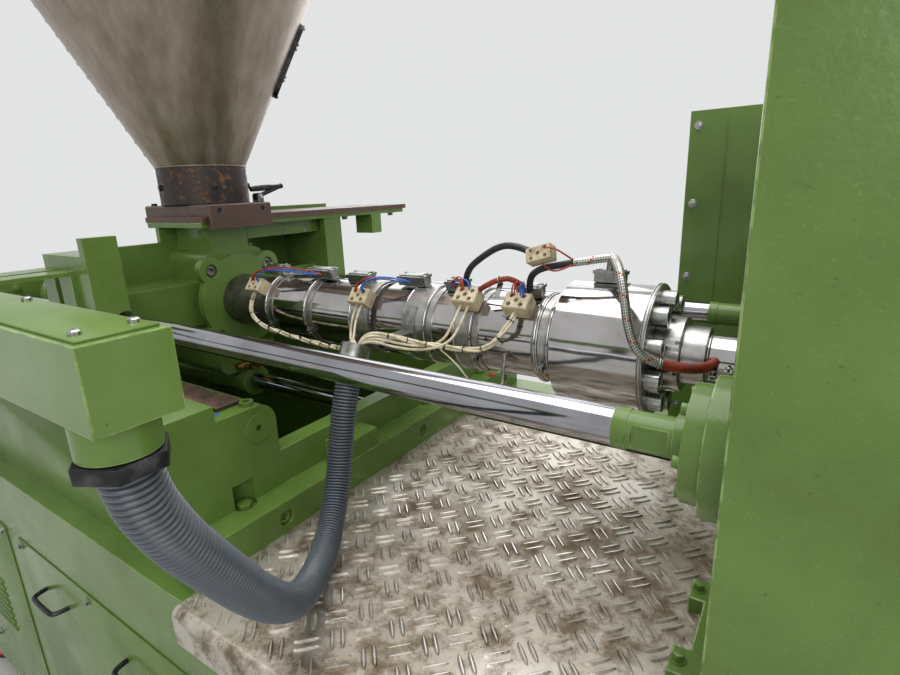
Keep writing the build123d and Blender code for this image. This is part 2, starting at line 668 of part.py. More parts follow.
def arms():
    """Cross arms with a shoe on each slideway and a bushed boss round each guide rod."""
    low, high = AXIS_Z - ARM_H / 2, AXIS_Z + ARM_H / 2
    seat = way_z + SEAT_GAP
    step = base_in_y - CLEARANCE
    half = extrude_x([
        (0, low), (step, low), (step, seat + CLEARANCE), (way_in_y, seat + CLEARANCE), (way_in_y, seat),
        (way_out_y, seat), (way_out_y, seat + SHOE_T), (ARM_OUT_Y, seat + SHOE_T), (ARM_OUT_Y, high),
        (0, high)], arm_x0, arm_x1)
    shape = half + mirror_y(half)
    for y in (-ROD_Y, ROD_Y):
        shape += rod_x(bush_r + ARM_BOSS_WALL, arm_x0, arm_x1 + ARM_BOSS_REACH, y)
    return shape


def box_walls():
    """Cheeks and back plate that stand on the arms and carry the rail beam, open to the front."""
    low = AXIS_Z - ARM_H / 2
    cheek = box(arm_x0, CHEEK_X, ARM_OUT_Y - CHEEK_T, ARM_OUT_Y, low, web_z0)
    cheek += box(CHEEK_X - CHEEK_LIP_T, CHEEK_X, ARM_OUT_Y - CHEEK_T, ARM_OUT_Y, web_z0, plate_z0)
    back = box(arm_x0, arm_x0 + BACK_PLATE_T, -ARM_OUT_Y, ARM_OUT_Y, low, web_z0)
    return cheek + mirror_y(cheek) + back


def feed_housing():
    """Casting round the feed throat, with a lobed face flange and a cradle for the carriage cylinder."""
    body = box(housing_rear_x, flange_x, -HOUSING_HALF_W, HOUSING_HALF_W,
               AXIS_Z - HOUSING_BELOW, AXIS_Z + HOUSING_ABOVE)
    body = fillet(body.edges().filter_by(Axis.X), HOUSING_CORNER_R)
    body += box(throat_x - NECK_HALF_L, throat_x + NECK_HALF_L, -NECK_HALF_W, NECK_HALF_W, AXIS_Z, plate_z0)
    body += extrude_x([
        (-NECK_HALF_W, AXIS_Z), (-NECK_HALF_W, NECK_STEP_Z), (NECK_NEAR_Y, NECK_SHOULDER_Z),
        (NECK_NEAR_Y, plate_z0), (NECK_FAR_Y, plate_z0), (NECK_FAR_Y, AXIS_Z)],
        throat_x + NECK_HALF_L - 1, flange_x)
    body += rod_x(FACE_FLANGE_R, flange_x, FACE_X)
    lobes = [(LOBE_CIRCLE_R * cos(radians(a)), AXIS_Z + LOBE_CIRCLE_R * sin(radians(a)))
             for a in (45, 135, 225, 315)]
    for y, z in lobes:
        body += rod_x(LOBE_R, flange_x, FACE_X, y, z)
    body += arms()
    body += box_walls()
    for y, z in lobes:
        body -= rod_x(LOBE_BORE_R, FACE_X - LOBE_BORE_DEPTH, FACE_X + 1, y, z)
    for y in (-ROD_Y, ROD_Y):
        body -= rod_x(bush_r, arm_x0 - 1, arm_x1 + ARM_BOSS_REACH + 1, y)
        body -= rod_x(ROD_D / 2 + CLEARANCE, arm_x1 + ARM_BOSS_REACH, CHEEK_X + 1, y)
    body -= rod_x(CYL_R, housing_rear_x - 1, FACE_X + 1, 0, CYL_Z)
    return body - rod_z(THROAT_R, AXIS_Z, plate_z0 + 1, throat_x, 0)


write(feed_housing(), "feed_housing")
write(Compound([ring_x(bush_r, ROD_D / 2 + RUNNING_GAP, arm_x0, arm_x1 + ARM_BOSS_REACH, y)
                for y in (-ROD_Y, ROD_Y)]), "guide_bushes")

cylinder = rod_x(CYL_R, FACE_X - CYL_LENGTH, FACE_X, 0, CYL_Z)
cylinder -= rod_x(CYL_BORE_R, FACE_X - CYL_LENGTH + CYL_END_T, FACE_X - CYL_END_T, 0, CYL_Z)
cylinder -= rod_x(CYL_ROD_R + RUNNING_GAP, FACE_X - CYL_END_T - 1, FACE_X + 1, 0, CYL_Z)
write(cylinder, "carriage_cylinder")
piston_x = FACE_X - PISTON_BACK
piston_rod = rod_x(CYL_ROD_R, piston_x, beam_rear_x, 0, CYL_Z)
piston_rod += rod_x(CYL_BORE_R - RUNNING_GAP, piston_x - PISTON_L, piston_x, 0, CYL_Z)
piston_rod += rod_x(ROD_COLLAR_R, beam_rear_x - ROD_COLLAR_L, beam_rear_x, 0, CYL_Z)
write(piston_rod, "piston_rod")

# Barrel, head and nozzle

write(rod_x(BARREL_R, FACE_X, HEAD_X), "barrel")
write(rod_x(HEAD_R, HEAD_X, HEAD_END_X - END_RING_T)
      + rod_x(END_RING_R, HEAD_END_X - END_RING_T, HEAD_END_X), "barrel_head")
write(Compound([ring_x(BAND_R, BARREL_R, x0, x1) for x0, x1 in BAND_SPANS]), "heater_bands")
write(Compound([ring_x(RING_R, BARREL_R, x0, x1) for x0, x1 in RING_SPANS]), "band_rings")
write(ring_x(HEAD_BAND_R, HEAD_R, HEAD_X, HEAD_END_X - END_RING_T), "head_band")


def head_screws():
    """Socket cap screws that pull the barrel head on, each with its hexagon socket."""
    head = extrude(Circle(SCREW_HEAD_R), SCREW_HEAD_H)
    socket = extrude(RegularPolygon(SCREW_SOCKET_AF / 2, 6, major_radius=False), SCREW_SOCKET_DEPTH)
    head -= Pos(0, 0, SCREW_HEAD_H - SCREW_SOCKET_DEPTH) * socket
    screws = []
    for i in range(SCREW_COUNT):
        a = radians(360 / SCREW_COUNT * (i + 0.5))
        screws.append(Pos(HEAD_END_X, SCREW_CIRCLE_R * cos(a), AXIS_Z + SCREW_CIRCLE_R * sin(a))
                      * Rot(0, 90, 0) * head)
    return Compound(screws)


write(head_screws(), "head_screws")
write(rod_x(ADAPTER_FLANGE_R, HEAD_END_X, ADAPTER_FLANGE_END)
      + rod_x(ADAPTER_R, ADAPTER_FLANGE_END, ADAPTER_END), "nozzle_adapter")
write(rod_x(NOZZLE_R, ADAPTER_END, NOZZLE_TIP_X - NOZZLE_TIP_R)
      + Pos(NOZZLE_TIP_X - NOZZLE_TIP_R, 0, AXIS_Z) * Sphere(NOZZLE_TIP_R), "nozzle")
write(ring_x(NOZZLE_HEATER_R, NOZZLE_R, ADAPTER_END, NOZZLE_HEATER_END), "nozzle_heater")

# Injection drive behind the feed housing

drive_ys = (-DRIVE_CYL_Y, DRIVE_CYL_Y)
drive_x0 = arm_x0 - DRIVE_CYL_L


def drive_cylinder(y):
    """Injection cylinder with a wider cap at each end."""
    cap_r = DRIVE_CYL_R + DRIVE_CYL_CAP_RISE
    return (rod_x(DRIVE_CYL_R, drive_x0, arm_x0, y) + rod_x(cap_r, drive_x0, drive_x0 + DRIVE_CYL_CAP_L, y)
            + rod_x(cap_r, arm_x0 - DRIVE_CYL_CAP_L, arm_x0, y))


def drive_plate():
    """Plate that runs on both guide rods and turns and pushes the screw."""
    x0 = DRIVE_PLATE_X - DRIVE_PLATE_T
    half_w = ROD_Y + DRIVE_PLATE_OUTSIDE_ROD
    plate = box(x0, DRIVE_PLATE_X, -half_w, half_w, AXIS_Z - DRIVE_PLATE_HALF_H, AXIS_Z + DRIVE_PLATE_HALF_H)
    plate = fillet(plate.edges().filter_by(Axis.X), DRIVE_PLATE_CORNER_R)
    for y in (-ROD_Y, ROD_Y):
        plate -= rod_x(ROD_D / 2 + RUNNING_GAP, x0 - 1, DRIVE_PLATE_X + 1, y)
    return plate


write(Compound([drive_cylinder(y) for y in drive_ys]), "drive_cylinders")
write(Compound([rod_x(DRIVE_ROD_R, DRIVE_PLATE_X, drive_x0, y) for y in drive_ys]), "drive_rods")
write(rod_x(SHANK_R, DRIVE_PLATE_X, housing_rear_x), "screw_shank")
write(drive_plate(), "drive_plate")
motor_x = DRIVE_PLATE_X - DRIVE_PLATE_T - GEARBOX_L
gearbox = rod_x(GEARBOX_R, motor_x, motor_x + GEARBOX_L)
write(gearbox + rod_x(MOTOR_R, motor_x - MOTOR_L, motor_x), "drive_motor")


# Hopper rail, slide and hopper

def rail_beam():
    """Welded beam under the rail: top plate, two webs, an end block and a bar beside the rail."""
    x0, x1 = rail_x0 + BEAM_PLATE_INSET, rail_x1 - BEAM_PLATE_INSET
    far_y = RAIL_FAR_Y - BEAM_END_SHORT
    beam = box(x0, x1, RAIL_NEAR_Y, far_y, plate_z0, rail_z0)
    for x, near_y in ((x0 + BEAM_WEB_SETBACK, RAIL_NEAR_Y),
                      (x1 - BEAM_WEB_SETBACK - BEAM_WEB_T, NECK_FAR_Y + SEAT_GAP)):
        beam += box(x, x + BEAM_WEB_T, near_y, ARM_OUT_Y, web_z0, plate_z0)
    beam += box(x1 - HANGER_L, x1, *HANGER_Y, plate_z0 - HANGER_DEPTH, plate_z0)
    bar_x = SLIDE_FRONT_X - SLIDE_LENGTH - CLEARANCE
    bar_z0 = SIDE_BAR_TOP_Z - SIDE_BAR_H - SIDE_BAR_ARM_T
    beam += box(bar_x - SIDE_BAR_T, bar_x, *SIDE_BAR_Y, bar_z0, SIDE_BAR_TOP_Z)
    beam += box(bar_x - 1, x0 + BEAM_WEB_SETBACK, *SIDE_BAR_Y,
                SIDE_BAR_ARM_Z, SIDE_BAR_ARM_Z + SIDE_BAR_ARM_T)
    return beam - rod_z(THROAT_R, web_z0 - 1, rail_z0 + 1, throat_x, 0)


def hopper_slide():
    """Block that rides on the rail under the hopper, with screws sunk in its front face."""
    x0, x1 = SLIDE_FRONT_X - SLIDE_LENGTH, SLIDE_FRONT_X
    slide = box(x0, x1, -SLIDE_HALF_W, SLIDE_HALF_W, SLIDE_BOTTOM_Z, SLIDE_TOP_Z)
    slide = chamfer(slide.edges().group_by(Axis.Z)[-1], SLIDE_EDGE_R)
    slide -= box(rail_x0 - SEAT_GAP, rail_x1 + SEAT_GAP, -SLIDE_HALF_W - 1, SLIDE_HALF_W + 1,
                 SLIDE_BOTTOM_Z - 1, RAIL_TOP_Z + SEAT_GAP)
    for y in (-SLIDE_BORE_Y, SLIDE_BORE_Y):
        slide -= rod_x(SLIDE_BORE_R, x1 - SLIDE_BORE_DEPTH, x1 + 1, y, SLIDE_TOP_Z - SLIDE_BORE_DROP)
    return slide - rod_z(THROAT_R, RAIL_TOP_Z - 1, SLIDE_TOP_Z + 1, throat_x, 0)


rail = box(rail_x0, rail_x1, RAIL_NEAR_Y, RAIL_FAR_Y, rail_z0, RAIL_TOP_Z)
write(rail - rod_z(THROAT_R, rail_z0 - 1, RAIL_TOP_Z + 1, throat_x, 0), "hopper_rail")
write(rail_beam(), "rail_beam")
write(hopper_slide(), "hopper_slide")

cone_z = SLIDE_TOP_Z + HOPPER_BASE_H
drum_z = cone_z + HOPPER_CONE_H
lid_z = drum_z + HOPPER_DRUM_H
cone_slope = (HOPPER_TOP_R - HOPPER_BASE_R) / HOPPER_CONE_H
write(rod_z(HOPPER_BASE_R, SLIDE_TOP_Z, cone_z, throat_x, 0)
      - rod_z(THROAT_R, SLIDE_TOP_Z - 1, cone_z + 1, throat_x, 0), "hopper_base")
cone = revolve_z([(HOPPER_BASE_R, cone_z), (HOPPER_TOP_R, drum_z), (HOPPER_TOP_R - HOPPER_WALL, drum_z),
                  (HOPPER_BASE_R - HOPPER_WALL, cone_z)], throat_x)
write(cone, "hopper_cone")
write(rod_z(HOPPER_TOP_R, drum_z, lid_z, throat_x, 0)
      - rod_z(HOPPER_TOP_R - HOPPER_WALL, drum_z - 1, lid_z + 1, throat_x, 0), "hopper_drum")
write(rod_z(HOPPER_TOP_R + LID_RIM, lid_z, lid_z + LID_T, throat_x, 0), "hopper_lid")


def sight_glass():
    """Slot-shaped window frame that lies against the cone, cut to its curve."""
    mid_z = sum(GLASS_Z) / 2
    tilt = degrees(atan2(HOPPER_TOP_R - HOPPER_BASE_R, HOPPER_CONE_H))
    length = (GLASS_Z[1] - GLASS_Z[0]) / cos(radians(tilt))
    radius = HOPPER_BASE_R + cone_slope * (mid_z - cone_z)
    frame = extrude(SlotOverall(length, GLASS_W), GLASS_PROUD + 4)
    frame -= Pos(0, 0, GLASS_PROUD + 4 - GLASS_RECESS) * extrude(
        SlotOverall(length - 2 * GLASS_RIM, GLASS_W - 2 * GLASS_RIM), GLASS_RECESS)
    frame = Pos(radius, 0, mid_z) * Rot(0, 90 + tilt, 0) * Pos(0, 0, -4) * frame
    frame = Rot(0, 0, GLASS_AZIMUTH) * frame
    inside = revolve_z([(0, cone_z), (HOPPER_BASE_R, cone_z), (HOPPER_TOP_R, drum_z), (0, drum_z)], 0)
    return Pos(throat_x, 0, 0) * (frame - inside)


write(sight_glass(), "sight_glass")


def locking_lever():
    """Bent round lever between the ears of its clevis, turning on a pin along X."""
    pivot = (LEVER_X, LEVER_Y, SLIDE_TOP_Z + LEVER_PIVOT_H)
    elbow = (LEVER_X, LEVER_Y + LEVER_ARM * cos(radians(LEVER_RISE)),
             pivot[2] + LEVER_ARM * sin(radians(LEVER_RISE)))
    tip = (LEVER_X, elbow[1] - LEVER_GRIP * cos(radians(LEVER_DIP)),
           elbow[2] - LEVER_GRIP * sin(radians(LEVER_DIP)))
    lever = rod_between(pivot, elbow, LEVER_R) + Pos(*elbow) * Sphere(LEVER_ELBOW_R)
    lever += rod_between(elbow, tip, LEVER_R)
    lever += rod_x(LEVER_EYE_R, LEVER_X - LEVER_EYE_W / 2, LEVER_X + LEVER_EYE_W / 2, LEVER_Y, pivot[2])
    lever -= rod_x(LEVER_PIN_R + RUNNING_GAP, LEVER_X - LEVER_EYE_W, LEVER_X + LEVER_EYE_W,
                   LEVER_Y, pivot[2])
    ear_x = LEVER_EYE_W / 2 + LEVER_SIDE_GAP
    out_x = ear_x + LEVER_EAR_T
    clevis = box(LEVER_X - out_x, LEVER_X + out_x, LEVER_Y - LEVER_EYE_R, LEVER_Y + LEVER_EYE_R,
                 SLIDE_TOP_Z, pivot[2])
    clevis += rod_x(LEVER_EYE_R, LEVER_X - out_x, LEVER_X + out_x, LEVER_Y, pivot[2])
    clevis -= box(LEVER_X - ear_x, LEVER_X + ear_x, LEVER_Y - 2 * LEVER_EYE_R, LEVER_Y + 2 * LEVER_EYE_R,
                  SLIDE_TOP_Z + LEVER_FLOOR_T, pivot[2] + 2 * LEVER_EYE_R)
    clevis += rod_x(LEVER_PIN_R, LEVER_X - ear_x - 1, LEVER_X + ear_x + 1, LEVER_Y, pivot[2])
    return lever, clevis


lever, clevis = locking_lever()
write(lever, "locking_lever")
write(clevis, "lever_clevis")


# Fittings along the barrel

def around_barrel(shape, station, radius, angle):
    """Places a piece drawn flat on the XY plane against a cylinder about the barrel's axis."""
    return Pos(station, 0, AXIS_Z) * Rot(angle - 90, 0, 0) * Pos(0, 0, radius) * shape


def seat_radius(x0, x1):
    """Largest radius on the barrel between two stations, which a clamped box sits on."""
    rings = [RING_R for a, b in RING_SPANS if a < x1 and b > x0]
    heads = [HEAD_BAND_R] if x1 > HEAD_X else []
    return max([BAND_R, *rings, *heads]) + SEAT_GAP


def terminal_box(length):
    """Sheet box with a lid that stands over its edges."""
    low = (Align.MIN, Align.CENTER, Align.MIN)
    body = Box(length - 2 * BOX_LIP, BOX_W - 2 * BOX_LIP, BOX_H, align=low)
    return body + Pos(-BOX_LIP, 0, BOX_H - BOX_LID_H) * Box(length, BOX_W, BOX_LID_H, align=low)


def connector_block():
    """Ceramic block with five screw holes in its outer face."""
    block = Box(BLOCK_L, BLOCK_W, BLOCK_T, align=(Align.MIN, Align.CENTER, Align.MIN))
    block = chamfer(block.edges().group_by(Axis.Z)[-1], BLOCK_CHAMFER)
    hole = extrude(Circle(BLOCK_HOLE_R), BLOCK_HOLE_DEPTH)
    places = [(i * BLOCK_HOLE_SPREAD_X, j * BLOCK_HOLE_SPREAD) for i in (-1, 1) for j in (-1, 1)]
    for x, y in [(0, 0), *places]:
        block -= Pos(BLOCK_L / 2 + x, y, BLOCK_T - BLOCK_HOLE_DEPTH) * hole
    return block


boxes = [around_barrel(terminal_box(length), x, seat_radius(x, x + length), BOX_ANGLE)
         for x, length in BOX_SPANS]
boxes.append(around_barrel(terminal_box(HEAD_BOX[1]), HEAD_BOX[0], HEAD_BAND_R + SEAT_GAP, HEAD_BOX_ANGLE))
write(Compound(boxes), "terminal_boxes")
write(Compound([around_barrel(connector_block(), x, seat_radius(x, x + BLOCK_L), angle)
                for x, angle in BLOCK_PLACES]), "connector_blocks")
write(Compound([tube(LEFT_LEADS, LEAD_R, "left leads"),
                tube(RIGHT_LEADS, LEAD_R, "right leads")]), "tied_leads")
write(tube(CONDUIT, CONDUIT_R, "conduit"), "heater_conduit")


# Hose, the duct it hangs from and the clip that holds its open end

def lead_duct():
    """Square tube along the near side, closed at both ends, with the hose gland below its front end."""
    duct = box(arm_x0, DUCT_FRONT_X, duct_y - DUCT_HALF, duct_y + DUCT_HALF,
               duct_z - DUCT_HALF, duct_z + DUCT_HALF)
    inner = DUCT_HALF - DUCT_WALL
    duct -= box(arm_x0 + DUCT_WALL, DUCT_FRONT_X - DUCT_WALL, duct_y - inner, duct_y + inner,
                duct_z - inner, duct_z + inner)
    top = Vector(*HOSE_ROUTE[0])
    down = (Vector(*HOSE_ROUTE[1]) - top).normalized()
    gland = extrude(Plane(origin=top, z_dir=down) * Circle(HOSE_R + GLAND_WALL), GLAND_L)
    gland -= extrude(Plane(origin=top, z_dir=down) * Circle(HOSE_R + SEAT_GAP), GLAND_L + 1)
    return duct + gland


def duct_arm(x):
    """Angle bar from the housing's near arm up and out to the duct."""
    foot_z = duct_z - DUCT_HALF - DUCT_ARM_DROP
    top_z = duct_z - DUCT_HALF
    return extrude_x([
        (-ARM_OUT_Y, foot_z), (-ARM_OUT_Y - DUCT_ARM_T, foot_z),
        (-ARM_OUT_Y - DUCT_ARM_T, top_z - DUCT_ARM_T),
        (duct_y - DUCT_HALF, top_z - DUCT_ARM_T), (duct_y - DUCT_HALF, top_z), (-ARM_OUT_Y, top_z)],
        x, x + DUCT_ARM_W)


def hose_clip():
    """Saddle on a barrel ring with a flat bar out to the ferrule round the hose's open end."""
    mouth = Vector(*HOSE_ROUTE[-1])
    along = (mouth - Vector(*HOSE_ROUTE[-2])).normalized()
    low = Plane(origin=mouth - along * FERRULE_BACK, z_dir=along)
    length = FERRULE_BACK + FERRULE_AHEAD
    inner = RING_R + SEAT_GAP
    bar_y = mouth.Y + HOSE_R + FERRULE_WALL / 2
    clip = ring_x(inner + CLIP_T, inner, *CLIP_X)
    clip &= box(*CLIP_X, -2 * inner, 0, AXIS_Z - CLIP_HALF_H, AXIS_Z + CLIP_HALF_H)
    clip += box(*CLIP_X, bar_y, -inner - CLIP_T / 2, AXIS_Z - CLIP_T / 2, AXIS_Z + CLIP_T / 2)
    clip += extrude(low * Circle(HOSE_R + FERRULE_WALL), length)
    return clip - extrude(low * Circle(HOSE_R + SEAT_GAP), length)


write(tube(HOSE_ROUTE, HOSE_R, "hose"), "lead_hose")
write(lead_duct(), "lead_duct")
write(Compound([duct_arm(x) for x in DUCT_ARM_XS]), "duct_arms")
write(hose_clip(), "hose_clip")
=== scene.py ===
"""Finishes and fine detail of an injection unit on its bed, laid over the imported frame.

Lengths are metres in the frame: X along the barrel towards the platen, Y across to the far side, Z up.
Stations written as in the drawing are millimetres from the guide rods' seat, and at() turns them.
"""
import json
from math import cos, pi, radians, sin

import bmesh
import bpy
from mathutils import Matrix, Vector
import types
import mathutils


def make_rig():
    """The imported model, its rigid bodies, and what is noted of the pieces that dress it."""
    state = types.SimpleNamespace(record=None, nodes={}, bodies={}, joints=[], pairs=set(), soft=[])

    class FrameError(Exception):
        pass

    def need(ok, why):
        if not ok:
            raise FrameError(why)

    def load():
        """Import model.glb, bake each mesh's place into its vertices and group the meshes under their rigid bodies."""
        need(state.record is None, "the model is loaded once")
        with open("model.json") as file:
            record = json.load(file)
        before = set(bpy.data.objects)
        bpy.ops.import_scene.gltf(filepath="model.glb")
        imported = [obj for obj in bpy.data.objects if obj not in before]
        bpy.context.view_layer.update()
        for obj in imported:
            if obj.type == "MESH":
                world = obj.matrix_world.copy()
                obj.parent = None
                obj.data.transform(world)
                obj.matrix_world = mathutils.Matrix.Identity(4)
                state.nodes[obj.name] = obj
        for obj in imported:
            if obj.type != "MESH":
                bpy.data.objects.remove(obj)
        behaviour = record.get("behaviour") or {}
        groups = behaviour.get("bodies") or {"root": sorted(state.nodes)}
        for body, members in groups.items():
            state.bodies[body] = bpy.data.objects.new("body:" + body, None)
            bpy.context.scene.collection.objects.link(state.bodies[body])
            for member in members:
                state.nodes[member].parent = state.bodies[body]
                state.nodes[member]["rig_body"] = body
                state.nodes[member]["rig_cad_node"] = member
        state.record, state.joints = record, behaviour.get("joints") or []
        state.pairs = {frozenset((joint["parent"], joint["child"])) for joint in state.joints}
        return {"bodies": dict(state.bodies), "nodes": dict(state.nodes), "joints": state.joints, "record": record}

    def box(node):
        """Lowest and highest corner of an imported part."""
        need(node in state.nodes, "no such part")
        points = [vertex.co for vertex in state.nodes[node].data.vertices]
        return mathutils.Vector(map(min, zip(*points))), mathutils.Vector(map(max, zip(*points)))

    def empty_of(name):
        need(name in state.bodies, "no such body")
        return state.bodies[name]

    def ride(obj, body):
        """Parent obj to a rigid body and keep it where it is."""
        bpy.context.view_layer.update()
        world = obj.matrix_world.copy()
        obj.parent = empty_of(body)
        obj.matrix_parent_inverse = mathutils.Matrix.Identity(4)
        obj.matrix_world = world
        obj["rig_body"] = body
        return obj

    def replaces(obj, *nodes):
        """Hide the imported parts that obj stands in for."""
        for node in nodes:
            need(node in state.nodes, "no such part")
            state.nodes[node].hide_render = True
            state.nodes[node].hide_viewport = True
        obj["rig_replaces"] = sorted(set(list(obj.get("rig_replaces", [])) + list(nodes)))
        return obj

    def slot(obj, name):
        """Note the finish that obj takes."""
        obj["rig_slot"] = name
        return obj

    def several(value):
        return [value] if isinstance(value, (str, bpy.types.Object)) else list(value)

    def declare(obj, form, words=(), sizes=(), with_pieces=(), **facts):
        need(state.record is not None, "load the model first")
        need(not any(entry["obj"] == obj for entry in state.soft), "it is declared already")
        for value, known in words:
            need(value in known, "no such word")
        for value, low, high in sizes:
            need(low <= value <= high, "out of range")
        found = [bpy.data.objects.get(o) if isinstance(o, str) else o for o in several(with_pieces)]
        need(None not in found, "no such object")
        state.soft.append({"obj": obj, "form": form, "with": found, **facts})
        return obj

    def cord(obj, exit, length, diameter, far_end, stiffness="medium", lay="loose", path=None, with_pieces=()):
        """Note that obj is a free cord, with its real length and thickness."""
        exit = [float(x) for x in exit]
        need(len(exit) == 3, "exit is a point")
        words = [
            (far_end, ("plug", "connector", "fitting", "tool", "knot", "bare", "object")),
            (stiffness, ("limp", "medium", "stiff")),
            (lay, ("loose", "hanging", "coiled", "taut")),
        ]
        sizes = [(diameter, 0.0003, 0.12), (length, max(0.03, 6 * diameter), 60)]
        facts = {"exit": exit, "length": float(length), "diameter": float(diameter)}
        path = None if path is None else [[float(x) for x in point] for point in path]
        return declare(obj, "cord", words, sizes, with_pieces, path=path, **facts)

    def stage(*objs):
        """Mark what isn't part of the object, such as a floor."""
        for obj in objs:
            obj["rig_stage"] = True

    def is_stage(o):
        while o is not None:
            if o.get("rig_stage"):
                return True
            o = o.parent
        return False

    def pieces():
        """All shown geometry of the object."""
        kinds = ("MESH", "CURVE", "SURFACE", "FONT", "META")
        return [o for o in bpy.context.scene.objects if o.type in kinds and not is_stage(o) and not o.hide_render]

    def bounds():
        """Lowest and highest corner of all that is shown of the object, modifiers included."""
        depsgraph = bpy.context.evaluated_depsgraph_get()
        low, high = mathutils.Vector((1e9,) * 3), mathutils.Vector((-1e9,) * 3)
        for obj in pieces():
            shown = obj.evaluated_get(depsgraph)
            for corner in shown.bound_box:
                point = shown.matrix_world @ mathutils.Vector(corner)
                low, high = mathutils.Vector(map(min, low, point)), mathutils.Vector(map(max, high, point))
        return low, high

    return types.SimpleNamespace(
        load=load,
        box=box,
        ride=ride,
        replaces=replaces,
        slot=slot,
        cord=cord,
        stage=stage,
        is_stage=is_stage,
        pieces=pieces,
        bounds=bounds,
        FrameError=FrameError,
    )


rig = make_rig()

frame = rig.load()

bl_info = {
    "name": "Injection unit finishes",
    "version": (1, 0, 0),
    "blender": (4, 5, 0),
    "location": "View3D > Sidebar > Injection unit",
    "description": "Paints and details the injection unit over its packed frame",
    "category": "Object",
}


def linear(code):
    """Linear colour of an sRGB hex value."""
    channels = [int(code[i:i + 2], 16) / 255 for i in (1, 3, 5)]
    return tuple([c / 12.92 if c <= 0.04045 else ((c + 0.055) / 1.055) ** 2.4 for c in channels] + [1.0])


# The drawing's zero, in millimetres of the frame
SEAT_X, MIDDLE_Y = 977.5, 29.0


def at(x, y, z):
    """Point of the drawing, in millimetres from the rods' seat, as metres in the frame."""
    return Vector(((x + SEAT_X) / 1000, (y + MIDDLE_Y) / 1000, z / 1000))


def colour(name, words, code):
    """Colour property with an sRGB default."""
    return bpy.props.FloatVectorProperty(
        name=name, description=words, subtype="COLOR", size=4, min=0, max=1, default=linear(code))


def length(name, words, value):
    """Length property in metres."""
    return bpy.props.FloatProperty(name=name, description=words, default=value, min=0, unit="LENGTH")


# Settings

class PaintSettings(bpy.types.PropertyGroup):
    """Colours of the painted, moulded and plated surfaces."""
    enamel: colour("Machine enamel", "Yellowish green gloss enamel of castings and sheet", "#5f7b38")
    enamel_dark: colour("Greasy enamel", "The same enamel where grease has darkened it", "#576f32")
    enamel_light: colour("Clean enamel", "The same enamel where it is wiped", "#698541")
    # This pale colour also paints a highlight along the rounded edges, besides the wear
    enamel_worn_and_highlight: colour("Worn enamel", "Edges where the enamel is rubbed thin and pale", "#90a868")
    mount: colour("Mount enamel", "Orange enamel on the levelling mounts", "#e4521d")
    hose: colour("Hose plastic", "Grey-blue plastic of the corrugated hose", "#575e67")
    ceramic: colour("Ceramic", "Unglazed steatite of the connector blocks", "#cdc0a2")
    oxide: colour("Oxidised steel", "Brown skin of the slide and its rail", "#574742")


class HoseSettings(bpy.types.PropertyGroup):
    """Sizes of the corrugated hose."""
    diameter: length("Diameter", "Outside diameter over the ribs", 0.045)
    rib_pitch: length("Rib pitch", "Distance from one rib to the next", 0.0056)
    rib_depth: length("Rib depth", "How far a groove lies under the ribs", 0.0024)


class TreadSettings(bpy.types.PropertyGroup):
    """Raised bars of the tread plate."""
    pitch: length("Group pitch", "Distance between groups of bars", 0.0285)
    bar_length: length("Bar length", "Length of one bar", 0.0385)
    bar_width: length("Bar width", "Width of one bar at its foot", 0.0088)
    bar_height: length("Bar height", "Height of one bar over the plate", 0.0026)
    pair_gap: length("Pair gap", "Distance between the two bars of a pair", 0.014)


class WiringSettings(bpy.types.PropertyGroup):
    """Leads beside the barrel."""
    lead_diameter: length("Lead diameter", "Diameter of one sleeved lead", 0.0052)
    jumper_diameter: length("Jumper diameter", "Diameter of one red or blue jumper", 0.003)
    sleeve_diameter: length("Sleeve diameter", "Diameter of the black silicone sleeving", 0.012)
    conduit_diameter: length("Conduit diameter", "Diameter of the braided conduit", 0.014)
    tie_spacing: length("Tie spacing", "Distance between the black ties", 0.034)


class StageSettings(bpy.types.PropertyGroup):
    """Camera and floor."""
    focal_length: bpy.props.FloatProperty(
        name="Focal length", description="Camera focal length in millimetres", default=21.372, min=1)
    floor_size: length("Floor size", "Side of the square floor", 24.0)


def settings(group):
    """The scene's values of a group of settings."""
    return getattr(bpy.context.scene, "injection_unit_" + group)


# Places that several pieces share, in the drawing's millimetres

AXIS_Z, CYLINDER_Z = 1214.5, 978.0
THROAT_X = -1324.0
ROD_Y, DRIVE_Y = 316.0, (-200.0, 200.0)
FORWARD, BACK, NEAR, ALONG_Y, UP, DOWN = (1, 0, 0), (-1, 0, 0), (0, -1, 0), (0, 1, 0), (0, 0, 1), (0, 0, -1)
BAND_RADIUS, RING_RADIUS = 77.0, 81.0
BOX_HEIGHT, BLOCK_HEIGHT = 20.0, 28.0
RINGS = ((-1027.5, -1014.0), (-892.0, -879.0), (-751.0, -738.0), (-601.5, -542.0), (-480.0, -437.0),
         (-318.0, -306.0), (-294.0, -282.0))
# Terminal boxes: start, length, radius of the seat, angle
BOXES = ((-1080.0, 69.0, 81.3, 98.0), (-921.0, 79.0, 81.3, 98.0), (-789.0, 62.0, 77.3, 98.0),
         (-644.0, 67.5, 81.3, 98.0), (-525.0, 45.0, 77.3, 98.0), (-372.0, 49.5, 77.3, 98.0),
         (-237.0, 52.5, 106.3, 84.0))
# Ceramic blocks: start, angle, radius of the seat
BLOCKS = ((-1070.0, 143.0, 81.3), (-732.0, 143.0, 77.3), (-476.0, 131.0, 81.3), (-374.0, 131.0, 77.3))
